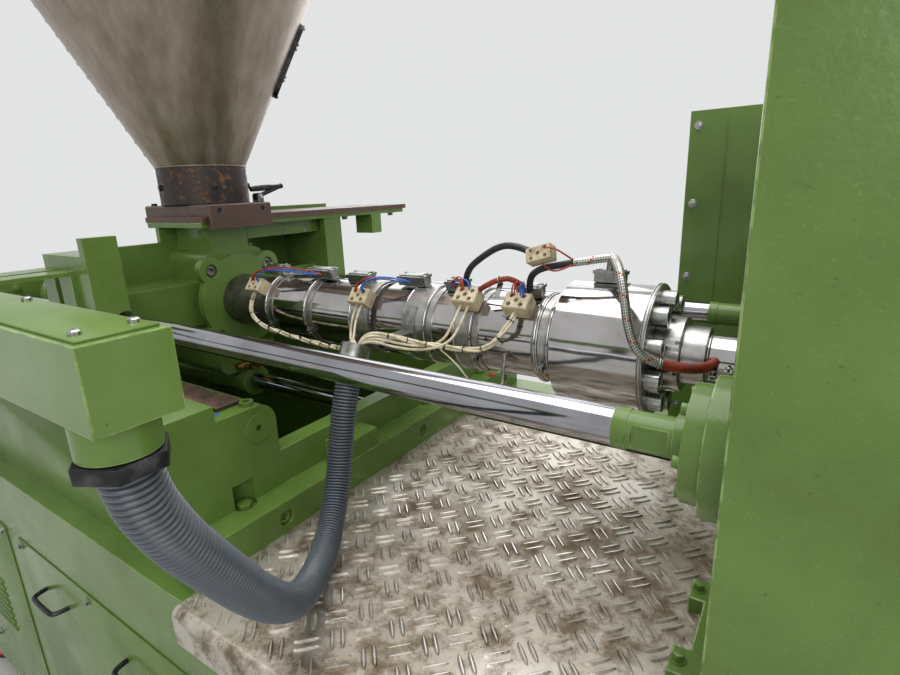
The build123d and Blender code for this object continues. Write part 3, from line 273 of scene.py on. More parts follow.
# Jumpers: block, box, colour, count
JUMPERS = ((0, 1, "red", 3), (0, 1, "blue", 2), (1, 3, "red", 2), (1, 3, "blue", 2),
           (2, 4, "red", 2), (2, 4, "blue", 1), (3, 5, "red", 2), (3, 5, "blue", 2))
LOOSE_JUMPERS = (
    ("red", ((-305, -62, 1358), (-290, -68, 1346), (-270, -62, 1348), (-254, -47, 1358))),
    ("red", ((-300, -66, 1384), (-285, -68, 1386), (-268, -58, 1374), (-252, -46, 1360))))
LEFT_LEADS = (
    (-1046, -86.6, 1258), (-1046, -106, 1232.3), (-1016, -117, 1193), (-930, -112, 1176), (-815, -116, 1168),
    (-722, -134, 1173), (-655, -172, 1196), (-614, -202, 1226), (-607, -210, 1213))
RIGHT_LEADS = ((-350, -72.9, 1272.1), (-350, -95.6, 1252.4), (-386, -116, 1208), (-455, -120, 1207),
               (-520, -142, 1214), (-565, -176, 1234), (-592, -199, 1232), (-594, -207, 1215))
BLOCK_LEADS = (
    ((-715, -82, 1257), (-715, -100, 1230), (-700, -124, 1196), (-662, -160, 1186), (-622, -198, 1216),
     (-606, -211, 1212)),
    ((-700, -82, 1257), (-699, -104, 1234), (-684, -130, 1202), (-652, -168, 1200), (-616, -202, 1226),
     (-604, -212, 1213)),
    ((-460, -75, 1276), (-460, -98, 1252), (-470, -118, 1218), (-500, -138, 1206), (-545, -164, 1216),
     (-585, -198, 1232), (-597, -210, 1214)),
    ((-444, -75, 1276), (-444, -98, 1250), (-456, -122, 1215), (-500, -142, 1201), (-545, -168, 1208),
     (-583, -200, 1228), (-596, -212, 1213)))
BLACK_SLEEVES = (
    ((-478, -28, 1306), (-466, -42, 1335), (-430, -46, 1362), (-390, -48, 1384), (-352, -54, 1384),
     (-328, -57, 1375)),
    ((-342, -30, 1304), (-340, -40, 1328), (-316, -46, 1347), (-280, -47, 1354), (-250, -45, 1360)))
RED_SLEEVE = ((-424, -68, 1306), (-405, -63, 1318), (-388, -59, 1325), (-368, -50, 1328), (-352, -36, 1312))
PROBE_LEAD = (
    (-364, -97, 1140), (-376, -114, 1130), (-410, -128, 1150), (-440, -128, 1185), (-474, -126, 1203))
CONDUIT = ((-212, 6, 1341.2), (-212, 8.5, 1365.1), (-176, -78, 1368), (-155, -112, 1332), (-144, -120, 1276),
           (-126, -119, 1238), (-88, -100, 1222), (-38, -78, 1219), (-38, -37.7, 1219))
CONDUIT_BRANCH = ((-256, -45, 1359), (-236, -41, 1362), (-214, -30, 1366), (-198, -26, 1367))


# Modelling by hand

def clear():
    """Object mode with nothing selected."""
    if bpy.context.object and bpy.context.object.mode != "OBJECT":
        bpy.ops.object.mode_set(mode="OBJECT")
    bpy.ops.object.select_all(action="DESELECT")


def only(piece):
    """Selects one piece alone and makes it the active one."""
    clear()
    piece.select_set(True)
    bpy.context.view_layer.objects.active = piece


def set_in_place(piece):
    """Puts a piece's place, turn and scale into its mesh."""
    only(piece)
    bpy.ops.object.transform_apply(location=True, rotation=True, scale=True)
    return piece


def turned(direction, spin=0.0):
    """Rotation that takes +Z to a direction."""
    return Vector(direction).to_track_quat("Z", "Y").to_matrix().to_4x4() @ Matrix.Rotation(spin, 4, "Z")


def facing(point, direction, spin=0.0):
    """Matrix that puts a pattern drawn on +Z at a point, facing a direction."""
    return Matrix.Translation(point) @ turned(direction, spin)


def drum(radius, depth, centre=(0, 0, 0), direction=UP, sides=32):
    """Solid cylinder."""
    clear()
    bpy.ops.mesh.primitive_cylinder_add(vertices=sides, radius=radius, depth=depth, location=centre,
                                        rotation=turned(direction).to_euler())
    return set_in_place(bpy.context.object)


def slab(size, centre=(0, 0, 0), turn=(0, 0, 0)):
    """Solid box."""
    clear()
    bpy.ops.mesh.primitive_cube_add(size=1, location=centre, rotation=turn)
    bpy.context.object.scale = size
    return set_in_place(bpy.context.object)


def hoop(radius, thickness, centre, direction, sides, round_sides):
    """Round ring, whose thickness is the radius of its section."""
    clear()
    bpy.ops.mesh.primitive_torus_add(
        location=centre, rotation=turned(direction).to_euler(), major_radius=radius, minor_radius=thickness,
        major_segments=sides, minor_segments=round_sides)
    return set_in_place(bpy.context.object)


def strap(radius, wall, width, x, y=0.0, z=AXIS_Z):
    """Flat ring about a line along the barrel, sized and placed in the drawing's millimetres."""
    clear()
    bpy.ops.mesh.primitive_cylinder_add(vertices=72, radius=radius / 1000, depth=width / 1000,
                                        end_fill_type="NOTHING", location=at(x, y, z),
                                        rotation=turned(FORWARD).to_euler())
    piece = set_in_place(bpy.context.object)
    sheet = piece.modifiers.new("wall", "SOLIDIFY")
    sheet.thickness = wall / 1000
    sheet.offset = -1.0
    bpy.ops.object.modifier_apply(modifier=sheet.name)
    return piece


def seats(xs, ys, zs, direction):
    """Places that face one way, at every mix of the drawing's stations."""
    return [facing(at(x, y, z), direction) for x in xs for y in ys for z in zs]


def circle(x, y, z, radius, angles, forward):
    """Places on a circle across the barrel's line that face forward (1) or back (-1)."""
    return [facing(at(x, y + radius * cos(radians(a)), z + radius * sin(radians(a))), (forward, 0, 0))
            for a in angles]


def turns(count):
    """Angles that divide a circle, the first of them half a step on."""
    return [(i + 0.5) * 360 / count for i in range(count)]


def around(station, radius, angle, across=0.0):
    """Matrix that puts a pattern drawn on +Z against a cylinder about the barrel's axis."""
    return (Matrix.Translation(at(station, 0, AXIS_Z)) @ Matrix.Rotation(radians(angle - 90.0), 4, "X")
            @ Matrix.Translation((0, across / 1000, radius / 1000)))


def pick(piece, test):
    """Opens a piece in edit mode with only the faces selected whose centre and normal pass a test."""
    only(piece)
    bpy.ops.object.mode_set(mode="EDIT")
    bpy.ops.mesh.select_mode(type="FACE")
    bpy.ops.mesh.select_all(action="DESELECT")
    shell = bmesh.from_edit_mesh(piece.data)
    for face in shell.faces:
        face.select_set(bool(test(face.calc_center_median(), face.normal)))
    bmesh.update_edit_mesh(piece.data)


def top_face(piece):
    """Opens a piece in edit mode with its top face selected."""
    high = max(v.co.z for v in piece.data.vertices)
    pick(piece, lambda centre, normal: normal.z > 0.9 and centre.z > high - 1e-6)


def mark(piece, values):
    """Marks each face for the finishes that look different on edges, crests and grooves."""
    layer = piece.data.attributes.get("edge") or piece.data.attributes.new("edge", "FLOAT", "FACE")
    layer.data.foreach_set("value", [float(value) for value in values])


def rounded(piece, width, segments=2, angle=30.0, marked=False):
    """Rounds the edges of a piece that are sharper than an angle, and may mark the faces that this makes."""
    only(piece)
    if marked:
        # The second, empty slot tells the new faces apart
        piece.data.materials.clear()
        piece.data.materials.append(None)
        piece.data.materials.append(None)
    edge = piece.modifiers.new("rounding", "BEVEL")
    edge.width = width
    edge.segments = segments
    edge.limit_method = "ANGLE"
    edge.angle_limit = radians(angle)
    edge.material = 1 if marked else -1
    bpy.ops.object.modifier_apply(modifier=edge.name)
    if marked:
        mark(piece, [face.material_index == 1 for face in piece.data.polygons])
        piece.data.polygons.foreach_set("material_index", [0] * len(piece.data.polygons))
    return piece


def cut(piece, tool):
    """Cuts a tool's shape out of a piece and removes the tool."""
    only(piece)
    removal = piece.modifiers.new("cut", "BOOLEAN")
    removal.operation = "DIFFERENCE"
    removal.solver = "EXACT"
    removal.object = tool
    bpy.ops.object.modifier_apply(modifier=removal.name)
    bpy.data.objects.remove(tool)
    return piece


def join(pieces):
    """Makes one piece of several."""
    if len(pieces) == 1:
        return pieces[0]
    clear()
    for one in pieces:
        one.select_set(True)
    bpy.context.view_layer.objects.active = pieces[0]
    bpy.ops.object.join()
    return bpy.context.object


def spread(pattern, places):
    """Copies a finished pattern to each place, each copy with its own mesh, and joins the copies."""
    made = []
    for place in places:
        one = bpy.data.objects.new("copy", pattern.data.copy())
        one.data.transform(place)
        bpy.context.scene.collection.objects.link(one)
        made.append(one)
    bpy.data.objects.remove(pattern)
    return join(made)


# Angle up to which edges are shaded smooth: on plates and turned pieces, and on leads and hoses
SHARP, ROUND = 35.0, 60.0


def dress(piece, name, finish_name, body="carriage", slot=None, smooth=SHARP, flat=False):
    """Names a piece, gives it its finish, fixes it to its body and tells its material slot."""
    piece.name = name
    piece.data.name = name
    piece.data.materials.clear()
    piece.data.materials.append(finish(finish_name))
    if smooth:
        only(piece)
        bpy.ops.object.shade_smooth_by_angle(angle=radians(smooth))
    if flat:
        # Big faces keep their own normals, so only the rounded edges bend the light
        weight = piece.modifiers.new("normals", "WEIGHTED_NORMAL")
        weight.keep_sharp = True
        bpy.ops.object.modifier_apply(modifier=weight.name)
    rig.ride(piece, body)
    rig.slot(piece, slot or SLOTS.get(finish_name, "dull_steel"))
    return piece


# Distance at which the frame's corners are one, and angle under which its triangles lie in one face
MERGE, FLAT = 0.00002, 0.5


def worked_copy(node, name, width):
    """Stands for a CAD node with a merged copy of its mesh whose sharp edges are rounded."""
    piece = bpy.data.objects.new(name, frame["nodes"][node].data.copy())
    bpy.context.scene.collection.objects.link(piece)
    only(piece)
    if piece.data.has_custom_normals:
        bpy.ops.mesh.customdata_custom_splitnormals_clear()
    bpy.ops.object.mode_set(mode="EDIT")
    bpy.ops.mesh.select_all(action="SELECT")
    bpy.ops.mesh.remove_doubles(threshold=MERGE)
    bpy.ops.mesh.dissolve_limited(angle_limit=radians(FLAT))
    bpy.ops.object.mode_set(mode="OBJECT")
    rounded(piece, width, 2, SHARP, marked=True)
    body = frame["nodes"][node]["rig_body"]
    slot = next(part["material_slot"] for part in frame["record"]["subparts"] if part["node"] == node)
    dress(piece, name, FRAME_FINISHES[node], body, slot, SHARP, flat=True)
    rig.replaces(piece, node)


# Fasteners, each drawn once on +Z with its seat at zero

def hexagon_head(across, height):
    """Hexagon bolt head on a washer, with the turned chamfer on its corners."""
    head = drum(across / 2 / cos(pi / 6), height, (0, 0, height / 2 + 0.0015), sides=6)
    top_face(head)
    bpy.ops.mesh.inset(thickness=across * 0.10, depth=across * 0.04)
    clear()
    washer = rounded(drum(across * 0.78, 0.0015, (0, 0, 0.00075), sides=24), 0.0004, 1)
    return join([head, washer])


def socket_head(radius, height, across):
    """Cylinder head with a hexagon socket and a rounded rim."""
    head = drum(radius, height, (0, 0, height / 2), sides=32)
    cut(head, drum(across / 2 / cos(pi / 6), height, (0, 0, height * 1.05), sides=6))
    return rounded(head, radius * 0.07, 2)


def button_head(radius, height):
    """Low rounded head with a cross slot."""
    head = drum(radius, height, (0, 0, height / 2), sides=20)
    top_face(head)
    bpy.ops.mesh.inset(thickness=radius * 0.3, depth=height * 0.4)
    clear()
    for turn in (0, pi / 2):
        cut(head, slab((radius * 1.1, radius * 0.22, height), (0, 0, height * 1.5), (0, 0, turn)))
    return head


# Lines of leads and hoses

def smooth_line(route):
    """Points along the smooth spline that a route controls."""
    curve = bpy.data.curves.new("route", "CURVE")
    curve.dimensions = "3D"
    spline = curve.splines.new("NURBS")
    spline.points.add(len(route) - 1)
    for point, place in zip(spline.points, route):
        point.co = (*place, 1.0)
    spline.order_u = 3
    spline.use_endpoint_u = True
    spline.resolution_u = 24
    holder = bpy.data.objects.new("route", curve)
    bpy.context.scene.collection.objects.link(holder)
    line = bpy.data.meshes.new_from_object(holder)
    points = [v.co.copy() for v in line.vertices]
    bpy.data.objects.remove(holder)
    bpy.data.curves.remove(curve)
    bpy.data.meshes.remove(line)
    return points


def even_steps(points, step):
    """The same line with points an equal step apart, and the step that came out."""
    total = sum((b - a).length for a, b in zip(points, points[1:]))
    count = max(2, round(total / step))
    step = total / count
    made, walked, goal = [points[0]], 0.0, step
    for a, b in zip(points, points[1:]):
        run = (b - a).length
        while run > 0 and walked + run >= goal - 1e-9 and len(made) < count:
            made.append(a.lerp(b, (goal - walked) / run))
            goal += step
        walked += run
    made.append(points[-1])
    return made, step


def frames_along(points, up=Vector((0.21, 0.35, 0.91))):
    """Side vectors across a line that turn with it without twist."""
    side = None
    for i, point in enumerate(points):
        ahead = (points[min(i + 1, len(points) - 1)] - points[max(i - 1, 0)]).normalized()
        side = (up if side is None else side) - ahead * (up if side is None else side).dot(ahead)
        side.normalize()
        yield point, side.copy(), ahead.cross(side)


def tube_mesh(points, radius_at, sides, name):
    """Tube along a line with a radius for each point, closed at its ends, with a map round and along it."""
    verts, faces, rows = [], [], []
    walked = 0.0
    for i, (point, side, across) in enumerate(frames_along(points)):
        walked += (points[i] - points[i - 1]).length if i else 0.0
        rows.append(walked)
        radius = radius_at(i)
        verts += [point + (side * cos(2 * pi * k / sides) + across * sin(2 * pi * k / sides)) * radius
                  for k in range(sides)]
    for i in range(len(points) - 1):
        for k in range(sides):
            n = (k + 1) % sides
            faces.append((i * sides + k, i * sides + n, (i + 1) * sides + n, (i + 1) * sides + k))
    faces.append(tuple(reversed(range(sides))))
    faces.append(tuple((len(points) - 1) * sides + k for k in range(sides)))
    mesh = bpy.data.meshes.new(name)
    mesh.from_pydata(verts, [], faces)
    layer = mesh.uv_layers.new(name="along")
    for face in mesh.polygons[:-2]:
        row, k = divmod(face.index, sides)
        corners = ((k, row), (k + 1, row), (k + 1, row + 1), (k, row + 1))
        for loop, (u, v) in zip(face.loop_indices, corners):
            layer.data[loop].uv = (u / sides, rows[v])
    piece = bpy.data.objects.new(name, mesh)
    bpy.context.scene.collection.objects.link(piece)
    return piece


LEAD_STEP = 0.004


def wire(route, diameter, sides=10):
    """Plain round lead along a smooth route."""
    points, _ = even_steps(smooth_line(route), LEAD_STEP)
    return tube_mesh(points, lambda i: diameter / 2, sides, "wire")


# Finishes

def shade(code):
    """Linear colour of a hex value or of the paint setting that is named."""
    return linear(code) if code.startswith("#") else tuple(getattr(settings("paint"), code))


def add(tree, kind, inputs=None, out=0, stops=None, **values):
    """Adds a node with its settings and its inputs, plain values or links, and gives one of its outputs."""
    made = tree.nodes.new("ShaderNode" + kind)
    for name, value in values.items():
        setattr(made, name, value)
    if stops:
        ramp = made.color_ramp
        while len(ramp.elements) < len(stops):
            ramp.elements.new(0.5)
        for element, (place, code) in zip(ramp.elements, stops):
            element.position = place
            element.color = shade(code)
    for socket, value in (inputs or {}).items():
        if isinstance(value, bpy.types.NodeSocket):
            tree.links.new(value, made.inputs[socket])
        else:
            made.inputs[socket].default_value = value
    return made.outputs[out]


def start(name, **constants):
    """New material with its shader, and the object's own coordinates to draw patterns on."""
    material = bpy.data.materials.new(name)
    material.use_nodes = True
    tree = material.node_tree
    shader = tree.nodes["Principled BSDF"]
    for socket, value in constants.items():
        shader.inputs[socket.replace("_", " ")].default_value = value
    return material, tree, shader, add(tree, "TexCoord", out=3)


def drive(tree, shader, **links):
    """Feeds outputs into the shader's sockets."""
    for socket, output in links.items():
        tree.links.new(output, shader.inputs[socket.replace("_", " ")])


def surface(name, layers, mark=None, **constants):
    """Material laid up from noises, each of which may colour, dull, stain or raise it.

    A layer is the noise's waves in a metre (three numbers where it is drawn out), its detail, its roughness
    and what it does. tone: colour ramp. dull: two values of the noise and the roughness at each. stain: two
    values, the share at each and the colour laid over; on marked faces only where worn is set, and scaled
    over a span of height where fading gives it. bump: depth and strength, of the stain where the layer has
    one. mark: share, colour and, if it polishes, roughness that go on the marked faces at the end.
    """
    material, tree, shader, where = start(name, **constants)
    tone, relief, links = None, None, {}
    for waves, detail, roughness, work in layers:
        stretch = waves if isinstance(waves, tuple) else (waves, waves, waves)
        place = add(tree, "Mapping", {"Vector": where, "Scale": stretch})
        cloud = add(tree, "TexNoise", {
            "Vector": place, "Scale": 1.0, "Detail": detail, "Roughness": roughness})
        if "tone" in work:
            tone = add(tree, "ValToRGB", {"Fac": cloud}, stops=work["tone"])
        if "dull" in work:
            links["Roughness"] = add(tree, "MapRange", {0: cloud, **dict(enumerate(work["dull"], 1))})
        if "stain" in work:
            *span, code = work["stain"]
            cloud = add(tree, "MapRange", {0: cloud, **dict(enumerate(span, 1))})
            # On marked edge faces only; for the enamel this pale stain is partly wear and partly a painted highlight
            if "worn" in work:
                marked = add(tree, "Attribute", out=2, attribute_name="edge")
                cloud = add(tree, "Math", {0: marked, 1: cloud}, operation="MULTIPLY")
            if "fading" in work:
                height = add(tree, "SeparateXYZ", {0: where}, out=2)
                height = add(tree, "MapRange", {0: height, **dict(enumerate(work["fading"], 1))})
                cloud = add(tree, "Math", {0: height, 1: cloud}, operation="MULTIPLY")
            tone = add(tree, "Mix", {0: cloud, 6: tone, 7: shade(code)}, out=2, data_type="RGBA")
        if "bump" in work:
            below = {} if relief is None else {"Normal": relief}
            depth, strength = work["bump"]
            relief = add(tree, "Bump", {"Height": cloud, "Distance": depth, "Strength": strength, **below})
    if mark:
        share, code, polish = mark
        marked = add(tree, "Attribute", out=2, attribute_name="edge")
        marked = add(tree, "Math", {0: marked, 1: share}, operation="MULTIPLY")
        tone = add(tree, "Mix", {0: marked, 6: tone, 7: shade(code)}, out=2, data_type="RGBA")
        if polish:
            links["Roughness"] = add(tree, "Mix", {0: marked, 2: links["Roughness"], 3: polish})
    drive(tree, shader, Base_Color=tone, **links)
    if relief is not None:
        drive(tree, shader, Normal=relief)
    return material, tree, shader, where


def green_enamel(name, lump_depth, grit_share):
    """Green gloss enamel: grease films darken it, and its edges are painted pale, partly as wear where tools and hands
    rub and partly as a painted highlight.
    """
    return surface(name, (
        # Grease films are about 150 mm across
        (6.5, 6, 0.62, dict(tone=((0.32, "enamel_dark"), (0.50, "enamel"), (0.72, "enamel_light")),
                            dull=(0.3, 0.7, 0.32, 0.17))),
        # Grit and overspray are 1 to 2 mm across, drawn at 3 mm so that they show
        (330.0, 2, 0.5, dict(stain=(0.62, 0.72, 0.0, grit_share, "enamel_worn_and_highlight"))),
        (120.0, 5, 0.7, dict(stain=(0.64, 0.74, 0.0, 0.55, "#2c3a20"))),
        # The rounded edges are painted pale in runs of 10 to 20 mm, partly as rubbed paint and partly as a painted
        # highlight
        (60.0, 4, 0.5, dict(stain=(0.38, 0.58, 0.0, 0.85, "enamel_worn_and_highlight"), worn=True)),
        # Brush waves are 35 mm across, the casting's grains 6 mm
        (28.0, 2, 0.5, dict(bump=(0.0007, 0.5))),
        (160.0, 3, 0.5, dict(bump=(lump_depth, 0.6)))), IOR=1.5, Specular_IOR_Level=0.38)


def gloss_enamel():
    """Gloss enamel brushed on machined iron and sheet: even and smooth, with soft waves in its highlights."""
    return green_enamel("gloss enamel brushed on machined steel", 0.00005, 0.05)


def cast_enamel():
    """Gloss enamel on rough cast iron: thick, grainy from the sand, with pale grit under the paint."""
    return green_enamel("gloss enamel brushed on cast iron", 0.0005, 0.14)


def tread_aluminium():
    """Rolled aluminium tread plate: pale mill finish, walked dull, with brown stains and specks of swarf."""
    return surface("rolled aluminium", (
        # Trodden patches are 160 mm across, oil stains 40 mm, swarf 5 mm; the marked crests are polished by boots and
        # painted pale, partly as wear and partly as a painted highlight on the bar tops
        (6.0, 7, 0.68, dict(tone=((0.36, "#cdc6bb"), (0.52, "#b4ab9e"), (0.66, "#897e6d")),
                            dull=(0.4, 0.65, 0.34, 0.58))),
        (24.0, 7, 0.72, dict(stain=(0.47, 0.64, 0.0, 0.9, "#6b5a46"))),
        (200.0, 3, 0.5, dict(stain=(0.67, 0.71, 0.0, 1.0, "#4c453b"))),
        (400.0, 3, 0.5, dict(bump=(0.0001, 0.5)))), mark=(1.0, "#ebe8e2", 0.18), Metallic=0.7)


def oxidised_steel():
    """Machined steel with a brown oxide skin, scored along its length and rusty in patches."""
    return surface("oxidised machined steel", (
        (33.0, 7, 0.7, dict(tone=((0.42, "oxide"), (0.60, "#634a3c"), (0.72, "#7f5c45")),
                            dull=(0.4, 0.7, 0.30, 0.62))),
        # Scores run along the slide, 1 to 2 mm apart
        ((28.0, 630.0, 630.0), 4, 0.6, dict(stain=(0.52, 0.72, 0.0, 0.8, "#2b2421"), bump=(0.0002, 0.6)))),
        mark=(0.6, "#9a8b7e", None), Metallic=0.5)


def rusted_ring():
    """Mild steel ring blackened by heat and grease, flaking to orange rust."""
    return surface("blackened mild steel", (
        (52.0, 7, 0.72, dict(
            tone=((0.44, "#262222"), (0.55, "#3a2d27"), (0.63, "#6f4c33"), (0.72, "#a08360")),
            dull=(0.4, 0.65, 0.32, 0.78))),
        (170.0, 5, 0.5, dict(bump=(0.0006, 0.7)))), Metallic=0.3)


def hard_chrome():
    """Hard chrome ground and polished on a steel rod: a near mirror with faint rings from the grinding."""
    return surface("ground hard chrome", (
        (12.0, 4, 0.5, dict(tone=((0.4, "#a5a5ab"), (0.7, "#908f94")))),
        # Grinding rings are 0.3 mm apart, drawn at 1.4 mm
        ((700.0, 12.0, 12.0), 2, 0.5, dict(bump=(0.00001, 0.35)))), Metallic=1.0, Roughness=0.08)


def brushed_stainless():
    """Stainless sheet, brushed down the hopper's slope, brown with dust and grease towards its outlet."""
    return surface("brushed stainless sheet", (
        # Runs of grease are 30 mm wide and ten times as long
        ((38.0, 38.0, 3.0), 5, 0.55, dict(
            tone=((0.35, "#a59a8d"), (0.52, "#9e9184"), (0.70, "#948679")),
            stain=(0.35, 0.80, 0.28, 0.56, "#62503f"), fading=(1.55, 2.0, 1.0, 0.35))),
        # Brushed grain is 0.2 mm wide, drawn at 2 mm
        ((450.0, 450.0, 14.0), 3, 0.5, dict(dull=(0.3, 0.7, 0.26, 0.44), bump=(0.00005, 0.4)))),
        Metallic=0.85)


def polished_band():
    """Polished stainless strip wound round the barrel: a mirror with slight waves and grey from its heat."""
    return surface("polished stainless strip", (
        (11.0, 4, 0.5, dict(tone=((0.36, "#bab8b7"), (0.54, "#aaa7a5"), (0.70, "#969296")))),
        # The strip waves over about 50 mm; scratches run round the barrel, drawn 1.5 mm apart
        (20.0, 1, 0.5, dict(bump=(0.0009, 0.45))),
        ((650.0, 40.0, 40.0), 2, 0.5, dict(bump=(0.00002, 0.4)))), Metallic=1.0, Roughness=0.1)


def turned_steel():
    """Turned bright steel of the rings, the head and its screws, dulled by handling and heat."""
    return surface("turned bright steel", (
        (40.0, 5, 0.5, dict(tone=((0.38, "#b4b3b1"), (0.60, "#a09d9a"), (0.72, "#8b847d")),
                            dull=(0.35, 0.65, 0.26, 0.38))),
        ((600.0, 30.0, 30.0), 2, 0.5, dict(bump=(0.00003, 0.5)))), Metallic=1.0)


def plated_sheet():
    """Zinc-plated pressed sheet and screws: bright, with cloudy patches where the plating has dulled."""
    return surface("zinc-plated sheet", (
        (60.0, 3, 0.5, dict(tone=((0.36, "#a9aba8"), (0.56, "#8f918c"), (0.70, "#797870")),
                            dull=(0.35, 0.65, 0.24, 0.36))),
        (30.0, 1, 0.5, dict(bump=(0.0002, 0.3)))), Metallic=1.0)


def machined_steel():
    """Machined steel browned by heat, with grey wear on its high places."""
    return surface("machined steel", (
        (40.0, 6, 0.5, dict(tone=((0.36, "#83817d"), (0.56, "#67625c"), (0.70, "#4d4640")),
                            dull=(0.35, 0.65, 0.28, 0.5))),
        (330.0, 3, 0.5, dict(bump=(0.0001, 0.5)))), Metallic=0.9)


def mount_enamel():
    """Orange enamel on a pressed steel dome: glossy, with the dome's soft dents and oily dust in them."""
    return surface("gloss enamel on pressed steel", (
        (20.0, 5, 0.5, dict(tone=((0.35, "mount"), (0.60, "#cd4714"), (0.74, "#8d3413")))),
        (26.0, 1, 0.5, dict(bump=(0.002, 0.6)))), Roughness=0.15, IOR=1.5)


def soft_vinyl():
    """Extruded corrugated vinyl: grey-blue, its ribs left pale and its grooves darkened by painted shade, the more the
    deeper they lie.
    """
    return surface("corrugated soft vinyl", (
        (16.0, 6, 0.5, dict(tone=((0.34, "hose"), (0.58, "#4f565f"), (0.74, "#6a6d6c")))),
        (300.0, 2, 0.5, dict(bump=(0.0001, 0.3)))), mark=(1.0, "#15181c", None), Roughness=0.3, IOR=1.52)


def grained(name, waves, detail, stops, grain, grain_detail, depth, strength, **constants):
    """Plain material of one colour that drifts in patches over a fine grain."""
    return surface(name, ((waves, detail, 0.5, dict(tone=stops)),
                          (grain, grain_detail, 0.5, dict(bump=(depth, strength)))), **constants)


def copper_alloy(name, bright, oily):
    """Turned copper alloy, browned where oil has dried."""
    return grained(name, 110.0, 5, ((0.40, bright), (0.62, oily)), 500.0, 2, 0.00006, 0.4,
                   Metallic=0.95, Roughness=0.32)


def insulation(name, code, stained, roughness):
    """Rubbery insulation of one colour, darker where heat has stained it."""
    return grained(name, 70.0, 4, ((0.4, code), (0.65, stained)), 600.0, 2, 0.00005, 0.4,
                   Roughness=roughness, IOR=1.45)


def woven_sleeve():
    """Heat-proof woven glass sleeving: cream, its weave 0.8 mm apart drawn at 2.5 mm so that it shows."""
    made = surface("woven glass sleeving", (
        (55.0, 5, 0.5, dict(tone=((0.36, "#ded4bd"), (0.60, "#c3b595"), (0.74, "#94866a")))),),
        Roughness=0.6, IOR=1.5)
    _, tree, shader, where = made
    weave = add(tree, "TexWave", {"Vector": where, "Scale": 125.0, "Distortion": 1.5, "Detail": 1.0}, out=1,
                bands_direction="DIAGONAL")
    weave = add(tree, "Bump", {"Height": weave, "Distance": 0.0003, "Strength": 0.5})
    drive(tree, shader, Normal=weave)
    return made


def wire_braid():
    """Tinned wire braid: strands cross 1 mm apart, drawn at 4 mm, and a red tracer thread winds along."""
    material, tree, shader, where = start("tinned wire braid", Metallic=0.8, Roughness=0.33)
    route = add(tree, "TexCoord", out=2)
    around = add(tree, "SeparateXYZ", {0: route}, out=0)
    along = add(tree, "SeparateXYZ", {0: route}, out=1)
    strands, strand_pitch, tracer_turns, tracer_width = 6, 0.008, 30.0, 0.14
    turns = add(tree, "Math", {0: around, 1: 2 * pi * strands}, operation="MULTIPLY")
    climb = add(tree, "Math", {0: along, 1: 2 * pi / strand_pitch}, operation="MULTIPLY")
    lays = [add(tree, "Math", {0: turns, 1: climb}, operation=way) for way in ("ADD", "SUBTRACT")]
    left, right = [add(tree, "Math", {0: lay}, operation="SINE") for lay in lays]
    weave = add(tree, "Math", {0: left, 1: right}, operation="MULTIPLY")
    height = add(tree, "MapRange", {0: weave, 1: -1.0, 2: 1.0})
    # Low places of the weave are painted darker and the high strands paler: painted shade between the strands
    stops = ((0.15, "#77766f"), (0.55, "#a8a8a2"), (0.9, "#c9c9c4"))
    tone = add(tree, "ValToRGB", {"Fac": height}, stops=stops)
    winding = add(tree, "Math", {0: along, 1: tracer_turns}, operation="MULTIPLY")
    winding = add(tree, "Math", {0: around, 1: winding}, operation="ADD")
    winding = add(tree, "Math", {0: winding}, operation="FRACT")
    thread = add(tree, "Math", {0: winding, 1: tracer_width}, operation="LESS_THAN")
    shown = add(tree, "Math", {0: right, 1: 0.0}, operation="GREATER_THAN")
    thread = add(tree, "Math", {0: thread, 1: shown}, operation="MULTIPLY")
    tone = add(tree, "Mix", {0: thread, 6: tone, 7: linear("#a8352b")}, out=2, data_type="RGBA")
    relief = add(tree, "Bump", {"Height": height, "Distance": 0.0006, "Strength": 0.8})
    drive(tree, shader, Base_Color=tone, Normal=relief)
    return material, tree, shader, where


